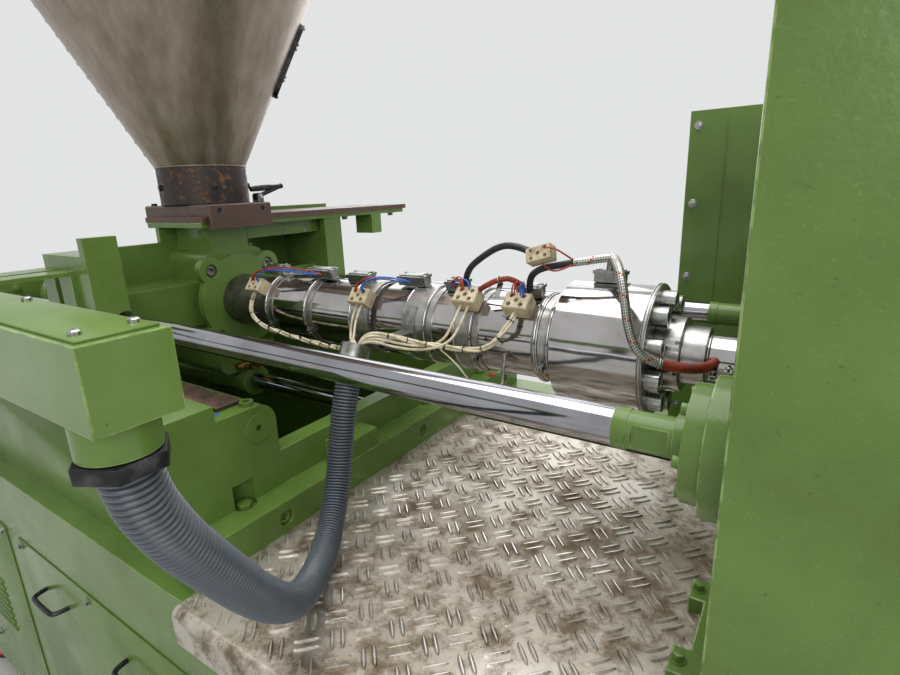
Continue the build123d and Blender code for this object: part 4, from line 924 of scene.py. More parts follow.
FINISH_MAKERS = {
    "enamel": gloss_enamel, "casting": cast_enamel, "tread": tread_aluminium, "oxide": oxidised_steel,
    "rusted": rusted_ring, "chrome": hard_chrome, "stainless": brushed_stainless, "band": polished_band,
    "turned": turned_steel, "zinc": plated_sheet, "steel": machined_steel, "mount": mount_enamel,
    "hose": soft_vinyl, "sleeve": woven_sleeve, "braid": wire_braid,
    # Warm brown yellow of the guide bushes, and the yellow of the pipe fittings
    "bronze": lambda: copper_alloy("turned bearing bronze", "#b58a4a", "#7a5730"),
    "brass": lambda: copper_alloy("turned brass", "#b88f4f", "#6f5230"),
    # Matt beige, faintly mottled, with a fine pressed grain
    "ceramic": lambda: grained("pressed steatite ceramic", 70.0, 5, (
        (0.35, "ceramic"), (0.60, "#bba98a"), (0.74, "#8f7d62")), 800.0, 3, 0.0001, 0.5,
        Roughness=0.5, IOR=1.55),
    # Black, with dust in its grain
    "rubber": lambda: grained("moulded rubber", 50.0, 6, (
        (0.42, "#1b1f24"), (0.68, "#3c3e3e")), 450.0, 3, 0.0001, 0.5, Roughness=0.7, IOR=1.52),
    # An oily sheen, worn grey in places
    "black": lambda: grained("black oxide on steel", 90.0, 5, (
        (0.48, "#191a1d"), (0.74, "#47464a")), 330.0, 2, 0.00006, 0.4, Metallic=0.4, Roughness=0.34),
    # Clear, painted dark as the shaded inside of the empty hopper behind it, and dusty at its edges
    "pane": lambda: grained("moulded acrylic pane", 33.0, 5, (
        (0.45, "#1f2326"), (0.72, "#7a7a70")), 30.0, 1, 0.0002, 0.3, Roughness=0.08, IOR=1.49),
    "red": lambda: insulation("red silicone insulation", "#b5452e", "#8a2417", 0.4),
    "blue": lambda: insulation("blue silicone insulation", "#3d78d8", "#2450a0", 0.4),
    "black_sleeve": lambda: insulation("black silicone sleeving", "#1f2023", "#2d2e31", 0.5),
    "red_sleeve": lambda: insulation("dark red coated glass sleeving", "#8e3220", "#5d2014", 0.5),
    "tie": lambda: insulation("black nylon tie", "#141517", "#232426", 0.35),
    "blue_paint": lambda: insulation("blue marking paint", "#3f7fd6", "#2a5a9c", 0.3),
}

# Finish of each node of the frame
NODE_FINISHES = {
    "enamel": """bed_side_near bed_side_far bed_ends bed_tray deck_web cross_beam beam_bolts slide_bases
        platen_beam rod_ends rod_brackets guard_panel carriage_cylinder drive_cylinders drive_motor rail_beam
        lead_duct duct_arms""",
    "casting": "rear_tie fixed_platen feed_housing drive_plate",
    "chrome": "guide_rods piston_rod drive_rods",
    "turned": "barrel_head band_rings nozzle_adapter",
    "band": "heater_bands head_band nozzle_heater",
    "steel": "barrel nozzle screw_shank lever_clevis",
    "zinc": "mount_studs head_screws hose_clip terminal_boxes",
    "oxide": "slideways hopper_rail hopper_slide",
    "stainless": "hopper_cone hopper_drum hopper_lid",
    "black": "sight_glass locking_lever",
    "rubber": "mount_pads", "mount": "mount_caps", "tread": "tread_plate", "bronze": "guide_bushes",
    "rusted": "hopper_base", "hose": "lead_hose", "ceramic": "connector_blocks", "sleeve": "tied_leads",
    "braid": "heater_conduit",
}
FRAME_FINISHES = {node: name for name, nodes in NODE_FINISHES.items() for node in nodes.split()}

# Material slot that goes with a finish; the rest are dull steel
SLOTS = {
    "enamel": "enamel", "blue_paint": "enamel", "tread": "tread", "hose": "hose_plastic",
    "rubber": "mount_rubber", "band": "stainless", "stainless": "stainless", "brass": "bronze",
    "ceramic": "ceramic",
    "rusted": "oxide_steel", "sleeve": "lead_white", "red": "lead_white", "blue": "lead_white",
    "tie": "lever_black", "black_sleeve": "lever_black", "red_sleeve": "lever_black", "pane": "lever_black",
}


def finish(name):
    """The material of a finish, made the first time that it is asked for."""
    key = "finish " + name
    if key not in bpy.context.scene:
        bpy.context.scene[key] = FINISH_MAKERS[name]()[0].name
    return bpy.data.materials[bpy.context.scene[key]]


# Operators

BACKGROUND = "#f0f1f1"
BACKGROUND_SEEN, BACKGROUND_LIT = 0.88, 0.56
# The floor turns into the background between these distances from the object's middle
FLOOR_NEAR, FLOOR_FAR = 2.0, 5.5
CAMERA_PLACE = (64.0, -881.0, 1480.0)
CAMERA_YAW, CAMERA_PITCH, CAMERA_ROLL = 34.33, 15.40, -2.16
# Side in metres, place in the frame and watts
LAMPS = {
    "softbox above": (3.2, (0.1, 0.2, 4.4), 116.0),
    "softbox front": (2.6, (2.3, -3.4, 2.9), 56.0),
    "softbox behind": (3.2, (-1.8, 3.4, 3.0), 42.0),
    "softbox end": (2.8, (3.9, 0.2, 2.4), 24.0),
}


def seen_ray(tree):
    """One for what the camera sees straight, in a mirror or through glass, and nothing for light."""
    seen = add(tree, "LightPath", out="Is Camera Ray")
    for kind in ("Is Glossy Ray", "Is Transmission Ray"):
        seen = add(tree, "Math", {0: seen, 1: add(tree, "LightPath", out=kind)}, operation="MAXIMUM")
    return seen


def painted_floor():
    """Matt painted floor, faintly clouded. Away from the object it shows the background's own colour instead,
    so that no horizon stands behind it."""
    material, tree, shader, where = start("matt painted floor", Roughness=0.9)
    cloud = add(tree, "TexNoise", {"Vector": where, "Scale": 2.5, "Detail": 4.0})
    tone = add(tree, "ValToRGB", {"Fac": cloud}, stops=((0.3, "#d9d9d5"), (0.7, "#d2d2ce")))
    drive(tree, shader, Base_Color=tone)
    away = add(tree, "VectorMath", {0: where}, out=1, operation="LENGTH")
    away = add(tree, "MapRange", {0: away, 1: FLOOR_NEAR, 2: FLOOR_FAR}, interpolation_type="SMOOTHSTEP")
    away = add(tree, "Math", {0: away, 1: seen_ray(tree)}, operation="MULTIPLY")
    glow = add(tree, "Emission", {"Color": linear(BACKGROUND), "Strength": BACKGROUND_SEEN})
    both = add(tree, "MixShader", {0: away, 1: shader.outputs[0], 2: glow})
    tree.links.new(both, tree.nodes["Material Output"].inputs["Surface"])
    return material


class StageOperator(bpy.types.Operator):
    """Makes the pale floor, the soft lights and the camera at the photograph's angle"""
    bl_idname = "injection_unit.stage"
    bl_label = "Stage, lights and camera"

    def execute(self, context):
        clear()
        bpy.ops.mesh.primitive_plane_add(size=settings("stage").floor_size)
        floor = context.object
        floor.name = "floor"
        floor.data.materials.append(painted_floor())
        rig.stage(floor)

        world = bpy.data.worlds.new("studio")
        context.scene.world = world
        world.use_nodes = True
        tree = world.node_tree
        strength = add(tree, "MapRange", {0: seen_ray(tree), 3: BACKGROUND_LIT, 4: BACKGROUND_SEEN})
        background = tree.nodes["Background"]
        background.inputs["Color"].default_value = linear(BACKGROUND)
        tree.links.new(strength, background.inputs["Strength"])

        middle = sum(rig.bounds(), Vector()) / 2
        for name, (size, place, power) in LAMPS.items():
            lamp = bpy.data.lights.new(name, "AREA")
            lamp.shape = "SQUARE"
            lamp.size = size
            lamp.energy = power
            holder = bpy.data.objects.new(name, lamp)
            context.scene.collection.objects.link(holder)
            holder.location = place
            holder.rotation_euler = (middle - Vector(place)).to_track_quat("-Z", "Y").to_euler()

        camera = bpy.data.cameras.new("camera")
        camera.sensor_width = 36.0
        camera.lens = settings("stage").focal_length
        camera.clip_start, camera.clip_end = 0.02, 60.0
        holder = bpy.data.objects.new("camera", camera)
        context.scene.collection.objects.link(holder)
        yaw, pitch, roll = radians(CAMERA_YAW), radians(CAMERA_PITCH), radians(CAMERA_ROLL)
        ahead = Vector((-sin(yaw) * cos(pitch), cos(yaw) * cos(pitch), -sin(pitch)))
        right = Vector((cos(yaw), sin(yaw), 0.0))
        up = right.cross(ahead)
        place = Matrix((right * cos(roll) + up * sin(roll), up * cos(roll) - right * sin(roll), -ahead))
        place = place.transposed().to_4x4()
        place.translation = at(*CAMERA_PLACE)
        holder.matrix_world = place
        context.scene.camera = holder
        context.scene.view_settings.view_transform = "Standard"
        return {"FINISHED"}


class FrameFinishOperator(bpy.types.Operator):
    """Gives every node of the frame its finish"""
    bl_idname = "injection_unit.frame_finish"
    bl_label = "Finishes of the frame"

    def execute(self, context):
        for node, name in FRAME_FINISHES.items():
            mesh = frame["nodes"][node].data
            mesh.materials.clear()
            mesh.materials.append(finish(name))
        return {"FINISHED"}


# Rounding of the edges in millimetres, and the nodes that have it
ROUNDINGS = {
    3.0: "feed_housing cross_beam fixed_platen rear_tie rod_brackets drive_plate drive_motor platen_beam",
    2.4: "band_rings",
    2.0: """slide_bases drive_cylinders carriage_cylinder mount_caps mount_pads hopper_lid lead_duct
        bed_side_near bed_side_far bed_ends""",
    1.5: "rail_beam barrel_head nozzle_adapter hopper_base",
    1.2: "rod_ends head_band duct_arms",
    1.1: "head_screws",
    1.0: "nozzle_heater",
    0.8: "hopper_rail slideways hopper_slide beam_bolts mount_studs",
    0.7: "connector_blocks guard_panel",
    0.6: "heater_bands hose_clip",
    0.5: "lever_clevis",
    0.4: "terminal_boxes",
}


class RoundedEdgesOperator(bpy.types.Operator):
    """Rounds the edges of the castings, plates and turned pieces"""
    bl_idname = "injection_unit.rounded_edges"
    bl_label = "Rounded edges"

    def execute(self, context):
        for width, nodes in ROUNDINGS.items():
            for node in nodes.split():
                worked_copy(node, node + "_finished", width / 1000)
        return {"FINISHED"}


# In the frame's metres
HOSE_ROUTE = (
    (0.6515, -0.699, 1.340), (0.6515, -0.699, 1.285), (0.6445, -0.674, 1.222), (0.6305, -0.636, 1.160),
    (0.6155, -0.600, 1.102), (0.5915, -0.559, 1.046), (0.5575, -0.512, 0.994), (0.5175, -0.463, 0.9545),
    (0.4785, -0.411, 0.929), (0.4435, -0.357, 0.927), (0.4145, -0.309, 0.948), (0.3945, -0.271, 0.993),
    (0.3875, -0.251, 1.050), (0.3865, -0.235, 1.110), (0.3825, -0.212, 1.165), (0.3775, -0.185, 1.208))
HOSE_LENGTH, HOSE_SIDES = 0.98, 36
# How deep each row of a rib's faces lies: a round crest and a narrow groove
RIB = (0.0, 0.12, 0.55, 1.0, 0.55, 0.12)
# Power on a groove's depth that sets how dark its painted shade is
GROOVE_SHADE = 1.4


class HoseOperator(bpy.types.Operator):
    """Makes the corrugated hose that hangs from the duct to the deck and back up to its clip"""
    bl_idname = "injection_unit.hose"
    bl_label = "Corrugated hose"

    def execute(self, context):
        hose = settings("hose")
        rows = len(RIB)
        points, _ = even_steps(smooth_line(HOSE_ROUTE), hose.rib_pitch / rows)
        radius = hose.diameter / 2
        name = "lead_hose_ribbed"
        piece = tube_mesh(points, lambda i: radius - hose.rib_depth * RIB[i % rows], HOSE_SIDES, name)
        # Each band of faces is marked with its depth, for the painted shade in the grooves
        grooves = [(RIB[row % rows] + RIB[(row + 1) % rows]) / 2
                   for row in range(len(points) - 1) for _ in range(HOSE_SIDES)]
        mark(piece, [depth ** GROOVE_SHADE for depth in grooves] + [0.0, 0.0])
        dress(piece, name, "hose", smooth=ROUND)
        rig.replaces(piece, "lead_hose")
        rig.cord(piece, exit=HOSE_ROUTE[0], length=HOSE_LENGTH, diameter=hose.diameter, far_end="object",
                stiffness="limp", lay="hanging", path=points)
        return {"FINISHED"}


# Bars keep this far from the plate's edges and stand this deep in it; their crests are a share of their foot
TREAD_MARGIN, TREAD_SHIFT, TREAD_SINK = 0.022, 0.014, 0.0001
CREST_LENGTH, CREST_WIDTH = 0.84, 0.22


class TreadOperator(bpy.types.Operator):
    """Makes the raised bars of the tread plate: pairs of leaf-shaped bars, each pair across its neighbours"""
    bl_idname = "injection_unit.tread"
    bl_label = "Tread bars"

    def execute(self, context):
        bars = settings("tread")
        pair = []
        for y in (-bars.pair_gap / 2, bars.pair_gap / 2):
            clear()
            bpy.ops.mesh.primitive_cylinder_add(vertices=12, radius=0.5, depth=1, end_fill_type="NGON",
                                                location=(0, y, bars.bar_height / 2))
            context.object.scale = (bars.bar_length, bars.bar_width, bars.bar_height)
            bar = set_in_place(context.object)
            top_face(bar)
            bpy.ops.transform.resize(value=(CREST_LENGTH, CREST_WIDTH, 1.0), center_override=(0, y, 0))
            clear()
            pair.append(bar)
        (x0, y0, _), (x1, y1, top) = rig.box("tread_plate")
        places = []
        for i in range(int((x1 - x0) / bars.pitch) + 1):
            for j in range(int((y1 - y0) / bars.pitch) + 1):
                x, y = x0 + TREAD_MARGIN + i * bars.pitch, y0 + TREAD_MARGIN + TREAD_SHIFT + j * bars.pitch
                if (i + j) % 2 == 0 and x < x1 - TREAD_MARGIN and y < y1 - TREAD_MARGIN:
                    places.append(Matrix.Translation((x, y, top - TREAD_SINK))
                                  @ Matrix.Rotation(radians(45 if i % 2 else -45), 4, "Z"))
        piece = spread(join(pair), places)
        # The bars' flat tops are marked for the pale crest colour, partly boot wear and partly a painted highlight
        mark(piece, [face.normal.z > 0.9 for face in piece.data.polygons])
        dress(piece, "tread_bars", "tread", "base", smooth=0)
        return {"FINISHED"}


# Straps and beads of the rings, in millimetres but for the bead's radius
STRAP_WALL, STRAP_WIDTH, STRAP_AHEAD = 1.8, 13.0, 6.9
WIDE_WALL, WIDE_STRAP, WIDE_MIDDLE, PLAIN_RING = 3.0, 54.0, -719.0, (-688.0, -666.0)
BEAD, BEAD_SINK, BEAD_INSET, NARROW_RING = 0.0032, 1.5, 4.0, 14.0
# Angles of the three spanner holes in the nozzle's adapter
SPANNER_ANGLES = (149.0, 159.0, 196.0)


class BandOperator(bpy.types.Operator):
    """Makes the straps beside the barrel's rings, their clamp screws, and the fittings of head and nozzle"""
    bl_idname = "injection_unit.bands"
    bl_label = "Straps and clamps of the barrel"

    def execute(self, context):
        def hoops(stations, radius, thickness, sides, round_sides=8):
            """Round rings about the barrel at each station."""
            return [hoop(radius, thickness, at(x, 0, AXIS_Z), FORWARD, sides, round_sides) for x in stations]

        beside = [end + STRAP_AHEAD for _, end in RINGS]
        straps = [strap(BAND_RADIUS + STRAP_WALL, STRAP_WALL, STRAP_WIDTH, x) for x in beside]
        dress(join(straps), "ring_straps", "turned")
        # Behind the second ceramic block a wide strap takes the place of the frame's plain ring
        rings = bpy.data.objects["band_rings_finished"]
        left, right = [at(x, 0, 0).x for x in PLAIN_RING]
        pick(rings, lambda centre, normal: left < centre.x < right)
        bpy.ops.mesh.delete(type="FACE")
        clear()
        wide = strap(BAND_RADIUS + WIDE_WALL, WIDE_WALL, WIDE_STRAP, WIDE_MIDDLE)
        dress(rounded(wide, 0.001), "wide_strap", "turned")
        crowns = []
        for first, last in RINGS:
            narrow = last - first < NARROW_RING
            crowns += [(first + last) / 2] if narrow else [first + BEAD_INSET, last - BEAD_INSET]
        dress(join(hoops(crowns, (RING_RADIUS - BEAD_SINK) / 1000, BEAD, 72, 12)), "ring_beads", "band")
        holes = [around(-88.5, 60.0, angle) for angle in SPANNER_ANGLES]
        cut(bpy.data.objects["nozzle_adapter_finished"], spread(drum(0.0032, 0.016, sides=20), holes))
        dress(strap(BAND_RADIUS, 3.0, 11.6, -300.0), "gap_strap", "turned")

        ears = [slab((0.010, 0.0025, 0.013), (0, y, 0.0065)) for y in (-0.0045, 0.0045)]
        screw = drum(0.0022, 0.022, (0, 0, 0.008), ALONG_Y, 12)
        head = drum(0.0046, 0.004, (0, -0.009, 0.008), ALONG_Y, 6)
        places = [around(x, BAND_RADIUS, 204.0) for x in beside]
        places += [around(x, 37.5, 192.0) for x in (-37.0, -17.0)]
        dress(spread(join(ears + [screw, head]), places), "clamp_screws", "zinc")

        beads = hoops((-127.0, -131.5), 0.1092, 0.0011, 96) + hoops((-108.0,), 0.0602, 0.0014, 72)
        beads += hoops((-46.0, -8.0), 0.0378, 0.0012, 64)
        dress(join(beads), "head_beads", "turned")
        clip = join([rounded(slab((0.016, 0.009, 0.003), (0, 0, 0.0015)), 0.0008),
                     drum(0.0032, 0.005, (0.002, 0, 0.005), sides=6)])
        clip.data.transform(around(-288.0, RING_RADIUS, 219.0))
        dress(clip, "ring_clip", "brass")
        return {"FINISHED"}


# Five holes of a ceramic block: how far from its middle, along and across
HOLES = ((0, 0), (-1, -1), (1, -1), (-1, 1), (1, 1))


class TerminalOperator(bpy.types.Operator):
    """Makes the lids, screws and clips of the terminal boxes and the screwed holes of the ceramic blocks"""
    bl_idname = "injection_unit.terminals"
    bl_label = "Terminal boxes"

    def execute(self, context):
        lids, clips, screws = [], [], []
        for first, length, seat, angle in BOXES:
            lid = rounded(slab(((length - 20.0) / 1000, 0.020, 0.0016), (0, 0, 0.0008)), 0.0007)
            lid.data.transform(around(first - 2 + length / 2, seat + BOX_HEIGHT, angle))
            lids.append(lid)
            screws += [around(first + x, seat + BOX_HEIGHT, angle, y)
                       for x in (4.0, length - 8.0) for y in (-9.0, 9.0)]
            clips.append(around(first + length - 3.0, seat, angle, -6.0))
        dress(join(lids), "box_lids", "zinc")
        dress(spread(button_head(0.003, 0.002), screws), "box_lid_screws", "zinc")
        tongue = join([slab((0.0012, 0.010, 0.018), (0.0006, 0, 0.009)),
                       slab((0.009, 0.010, 0.0012), (0.0045, 0, 0.0006)),
                       slab((0.006, 0.010, 0.0012), (-0.0024, 0, 0.0185))])
        dress(spread(rounded(tongue, 0.0003, 1), clips), "box_clips", "turned")
        lugs = [around(first + 24.0 + 11.7 * x, seat + BLOCK_HEIGHT - 7.5, angle, 9.0 * y)
                for first, angle, seat in BLOCKS for x, y in HOLES]
        hole = drum(0.0044, 0.012, (0, 0, 0.006), sides=20)
        cut(bpy.data.objects["connector_blocks_finished"], spread(hole, lugs))
        dress(spread(button_head(0.0036, 0.002), lugs), "block_screws", "steel", slot="bronze")

        loose = rounded(slab((0.046, 0.026, 0.024)), 0.002)
        cut(loose, join([drum(0.0034, 0.012, (0.013 * x, 0.007 * y, 0.010), sides=16) for x, y in HOLES]))
        hanging = Matrix.Rotation(radians(-16), 4, "Y") @ Matrix.Rotation(radians(64), 4, "X")
        loose.data.transform(Matrix.Translation(at(-309.0, -58.0, 1371.0)) @ hanging)
        dress(loose, "loose_block", "ceramic")
        return {"FINISHED"}


def strand(line, turn, spread_radius, lay, diameter, sides=8):
    """One lead of a bundle that winds about the bundle's line."""
    points, walked = [], 0.0
    for i, (point, side, across) in enumerate(frames_along(line)):
        walked += (line[i] - line[i - 1]).length if i else 0.0
        angle = turn + 2 * pi * walked / lay
        points.append(point + (side * cos(angle) + across * sin(angle)) * spread_radius)
    return tube_mesh(points, lambda i: diameter / 2, sides, "lead")


def drawn(routes, diameter, sides=10):
    """Leads along routes that are given in the drawing's millimetres, in one piece."""
    return join([wire([at(*place) for place in route], diameter, sides=sides) for route in routes])


# Metres in which a bundle's leads wind round once and radians between them; radii are in lead diameters
BUNDLE_LAY, STRAND_TURN, BUNDLE_RADIUS, TIE_RADIUS = 0.19, 2.1, 0.56, 1.13
# Of each colour: how far along the block its first lead comes out
JUMPER_SHIFTS = {"red": 0.0, "blue": 17.0}


def jumper(block, box, shift, k, diameter):
    """The k-th jumper of one colour, from a ceramic block up and over into a terminal box."""
    first, angle, seat = BLOCKS[block]
    box_first, box_length, box_seat, box_angle = BOXES[box]
    shift += 5.5 * k
    station = box_first + box_length * (0.3 + 0.2 * k)
    root = around(first + 11.0 + shift, seat + BLOCK_HEIGHT - 3.0, angle, 9.0 - 1.5 * k).translation
    rise = around(first + 14.0 + shift, seat + BLOCK_HEIGHT + 17.0 + 3.0 * k, angle - 4.0, 12.0).translation
    near = around(station, box_seat + 13.0 + 3.0 * k, box_angle, -29.0).translation
    last = around(station, box_seat + 8.0, box_angle, -13.5).translation
    middle = (rise + near) / 2 + Vector((0, -0.002 * k, 0.009 + 0.003 * k))
    return wire([root, rise, middle, near, last], diameter, sides=8)


class WiringOperator(bpy.types.Operator):
    """Makes the tied cream leads, the red and blue jumpers and the black sleeving beside the barrel"""
    bl_idname = "injection_unit.wiring"
    bl_label = "Leads and jumpers"

    def execute(self, context):
        wiring = settings("wiring")
        lead = wiring.lead_diameter
        strands, ties = [], []
        for route in (LEFT_LEADS, RIGHT_LEADS):
            line, step = even_steps(smooth_line([at(*place) for place in route]), 0.006)
            strands += [strand(line, STRAND_TURN * k, lead * BUNDLE_RADIUS, BUNDLE_LAY, lead)
                        for k in range(3)]
            apart = round(wiring.tie_spacing / step)
            for i in range(apart // 2, len(line) - 5, apart):
                ties.append(facing(line[i], (line[i + 1] - line[i - 1]).normalized(), 0.7 * i))
        bundles = dress(join(strands), "lead_bundles", "sleeve", smooth=ROUND)
        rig.replaces(bundles, "tied_leads")
        tie = join([hoop(lead * TIE_RADIUS, 0.0009, (0, 0, 0), UP, 20, 6),
                    slab((0.0042, 0.0036, 0.0034), (lead * 1.3, 0, 0)),
                    slab((0.009, 0.0016, 0.0008), (lead * 1.3 + 0.006, 0, 0))])
        dress(spread(tie, ties), "lead_ties", "tie")
        dress(drawn(BLOCK_LEADS, lead), "block_leads", "sleeve", smooth=ROUND)

        for tint, shift in JUMPER_SHIFTS.items():
            made = [jumper(block, box, shift, k, wiring.jumper_diameter)
                    for block, box, shade, count in JUMPERS if shade == tint for k in range(count)]
            made += [drawn([route], wiring.jumper_diameter) for code, route in LOOSE_JUMPERS if code == tint]
            dress(join(made), tint + "_jumpers", tint, smooth=ROUND)

        dress(drawn(BLACK_SLEEVES, wiring.sleeve_diameter, 14), "black_sleeves", "black_sleeve", smooth=ROUND)
        dress(drawn([RED_SLEEVE], 0.010, 14), "red_sleeve", "red_sleeve", smooth=ROUND)
        holder = join([hoop(0.0062, 0.0011, at(-388.0, -59.0, 1325.0), (1.0, 0.1, 0.3), 24, 8),
                       slab((0.010, 0.0014, 0.030), at(-388.0, -62.0, 1307.0), (radians(-38), 0, 0))])
        dress(holder, "sleeve_clip", "zinc")

        windings, per_turn, coil_radius = 9, 14, 0.0034
        low, high = at(-364.0, -93.0, 1152.0), at(-366.0, -81.0, 1199.0)
        coil = []
        for i in range(windings * per_turn + 1):
            angle = 2 * pi * i / per_turn
            out = Vector((cos(angle), sin(angle), 0)) * coil_radius
            coil.append(high.lerp(low, i / (windings * per_turn)) + out)
        spring = tube_mesh(coil, lambda i: 0.0008, 6, "spring")
        core = wire([high, high.lerp(low, 0.5), low], 0.0034)
        dress(join([spring, core]), "probe_spring", "turned", smooth=ROUND)
        probe = wire([low] + [at(*place) for place in PROBE_LEAD], 0.0030)
        dress(probe, "probe_lead", "sleeve", smooth=ROUND)
        capsule = rounded(drum(0.0032, 0.013, at(-384.0, -97.0, 1160.0), (1, 0.2, 0.1), 16), 0.0012)
        dress(capsule, "probe_capsule", "red")
        return {"FINISHED"}


# Lead steps back from the nozzle heater where the red sleeve starts
SLEEVE_STEPS = 26


class ConduitOperator(bpy.types.Operator):
    """Makes the braided conduit from the head's terminal box down to the nozzle heater"""
    bl_idname = "injection_unit.conduit"
    bl_label = "Braided conduit"

    def execute(self, context):
        radius = settings("wiring").conduit_diameter / 2
        points, _ = even_steps(smooth_line([at(*place) for place in CONDUIT]), LEAD_STEP)
        braid = tube_mesh(points, lambda i: radius, 20, "conduit_braid")
        dress(braid, "conduit_braid", "braid", smooth=ROUND)
        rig.replaces(braid, "heater_conduit")
        dress(drawn([CONDUIT_BRANCH], 2 * radius, 16), "conduit_branch", "braid", smooth=ROUND)
        tail, _ = even_steps(points[-SLEEVE_STEPS:], LEAD_STEP)
        sleeve = tube_mesh(tail, lambda i: radius + 0.0008, 20, "conduit_sleeve")
        dress(sleeve, "conduit_sleeve", "red_sleeve", smooth=ROUND)
        before, place = points[-SLEEVE_STEPS - 2:-SLEEVE_STEPS]
        dress(hoop(radius + 0.0006, 0.0014, place, before - place, 28, 8), "conduit_ferrule", "zinc")
        return {"FINISHED"}


def stadium(length, width, depth, base=0.0):
    """Plate with round ends, drawn along X."""
    piece = drum(width / 2, depth, (0, 0, base + depth / 2), sides=34)
    for side in (-1, 1):
        pick(piece, lambda centre, normal: centre.x * side > width / 50 and abs(normal.z) < 0.5)
        bpy.ops.transform.translate(value=(side * (length - width) / 2, 0, 0))
        clear()
    return piece


# Degrees between the cone's side and the upright
HOPPER_SLOPE = 27.5


def on_slope(z, turn, out):
    """Place on the hopper's cone at a height of the drawing, facing out, with X down the slope."""
    return (Matrix.Translation(at(THROAT_X, 0, z)) @ Matrix.Rotation(radians(turn), 4, "Z")
            @ Matrix.Translation((out, 0, 0)) @ Matrix.Rotation(pi / 2 + radians(HOPPER_SLOPE), 4, "Y"))


# Radius, thickness and height of the hopper's seams
SEAMS = ((111.5, 2.2, 1562.5), (336.0, 2.4, 1994.5), (337.0, 3.6, 2149.0), (336.5, 1.4, 2075.0))
LID_GRIP = ((-60, 2163), (-60, 2170), (-30, 2171), (30, 2171), (60, 2170), (60, 2163))
PANE_SCREWS = ((-0.0970, 0), (0.0970, 0), (-0.045, -0.024), (-0.045, 0.024), (0.045, -0.024), (0.045, 0.024))


class HopperOperator(bpy.types.Operator):
    """Makes the hopper's seams, rims, handle and sight pane, and the screws of its slide"""
    bl_idname = "injection_unit.hopper"
    bl_label = "Hopper"

    def execute(self, context):
        seams = [hoop(radius / 1000, thickness / 1000, at(THROAT_X, 0, z), UP, 96, 10)
                 for radius, thickness, z in SEAMS]
        dress(join(seams), "hopper_seams", "stainless", "hopper")
        welt = on_slope(1778.5, 232.0, 0.2240)
        strip = rounded(slab((0.487, 0.018, 0.0014)), 0.0005, 1)
        strip.data.transform(welt)
        rivets = [welt @ Matrix.Translation((0.034 * k, 0, 0.0006)) for k in range(-6, 7)]
        rivet = rounded(drum(0.004, 0.0024, (0, 0, 0.0012), sides=16), 0.0010)
        dress(join([strip, spread(rivet, rivets)]), "hopper_welt", "stainless", "hopper")

        handle = wire([at(THROAT_X + x, 0, z) for x, z in LID_GRIP], 0.007)
        feet = [rounded(drum(0.012, 0.004, at(THROAT_X + x, 0, 2166.0), sides=24), 0.001) for x in (-60, 60)]
        dress(join([handle] + feet), "lid_handle", "turned", "hopper", "stainless")

        pane_place = on_slope(1833.5, 55.0, 0.2521)
        pane = stadium(0.182, 0.0362, 0.0012, 0.0058)
        pane.data.transform(pane_place)
        dress(rounded(pane, 0.0004, 1), "sight_pane", "pane", "hopper")
        screws = [pane_place @ Matrix.Translation((x, y, 0.010)) for x, y in PANE_SCREWS]
        dress(spread(button_head(0.0042, 0.0026), screws), "sight_glass_screws", "zinc", "hopper")

        bores = seats((-1180.2,), (-64, 64), (1452.0,), FORWARD)
        screws = spread(socket_head(0.0066, 0.0045, 0.0055), bores)
        dress(screws, "slide_screws", "black", "hopper", "oxide_steel")
        pinholes = seats((-1184.0,), (-3.0,), (1463.0, 1438.0), FORWARD)
        cut(bpy.data.objects["hopper_slide_finished"], spread(drum(0.0030, 0.012, sides=20), pinholes))
        outward = [(cos(radians(a)), sin(radians(a))) for a in (-100, -20, 60, 140, 220)]
        grips = [facing(at(THROAT_X + 108.5 * x, 108.5 * y, 1512.0), (x, y, 0)) for x, y in outward]
        dress(spread(hexagon_head(0.013, 0.006), grips), "base_ring_bolts", "rusted", "hopper")
        tops = seats((-1452.0,), (-76.0, 76.0), (1468.0,), UP) + seats((-1196.0,), (-76.0,), (1468.0,), UP)
        screws = spread(socket_head(0.0075, 0.006, 0.006), tops)
        dress(screws, "slide_top_screws", "black", "hopper", "oxide_steel")
        return {"FINISHED"}


class LeverOperator(bpy.types.Operator):
    """Makes the grip and pin ends of the locking lever"""
    bl_idname = "injection_unit.lever"
    bl_label = "Locking lever"

    def execute(self, context):
        tip, root = at(-1194.0, 49.1, 1502.0), at(-1194.0, 116.0, 1506.8)
        grip, _ = even_steps([tip, tip.lerp(root, 0.5), root], 0.002)
        count = len(grip) - 1
        piece = tube_mesh(grip, lambda i: 0.0066 + 0.0012 * sin(pi * i / count), 20, "lever_grip")
        dress(piece, "lever_grip", "black", "lever", "lever_black", ROUND)
        pins = [rounded(drum(0.0062, 0.0025, at(x, 69.0, 1483.0), FORWARD, 20), 0.0008)
                for x in (-1207.0, -1181.0)]
        dress(join(pins), "lever_pin_ends", "turned", "hopper")
        return {"FINISHED"}


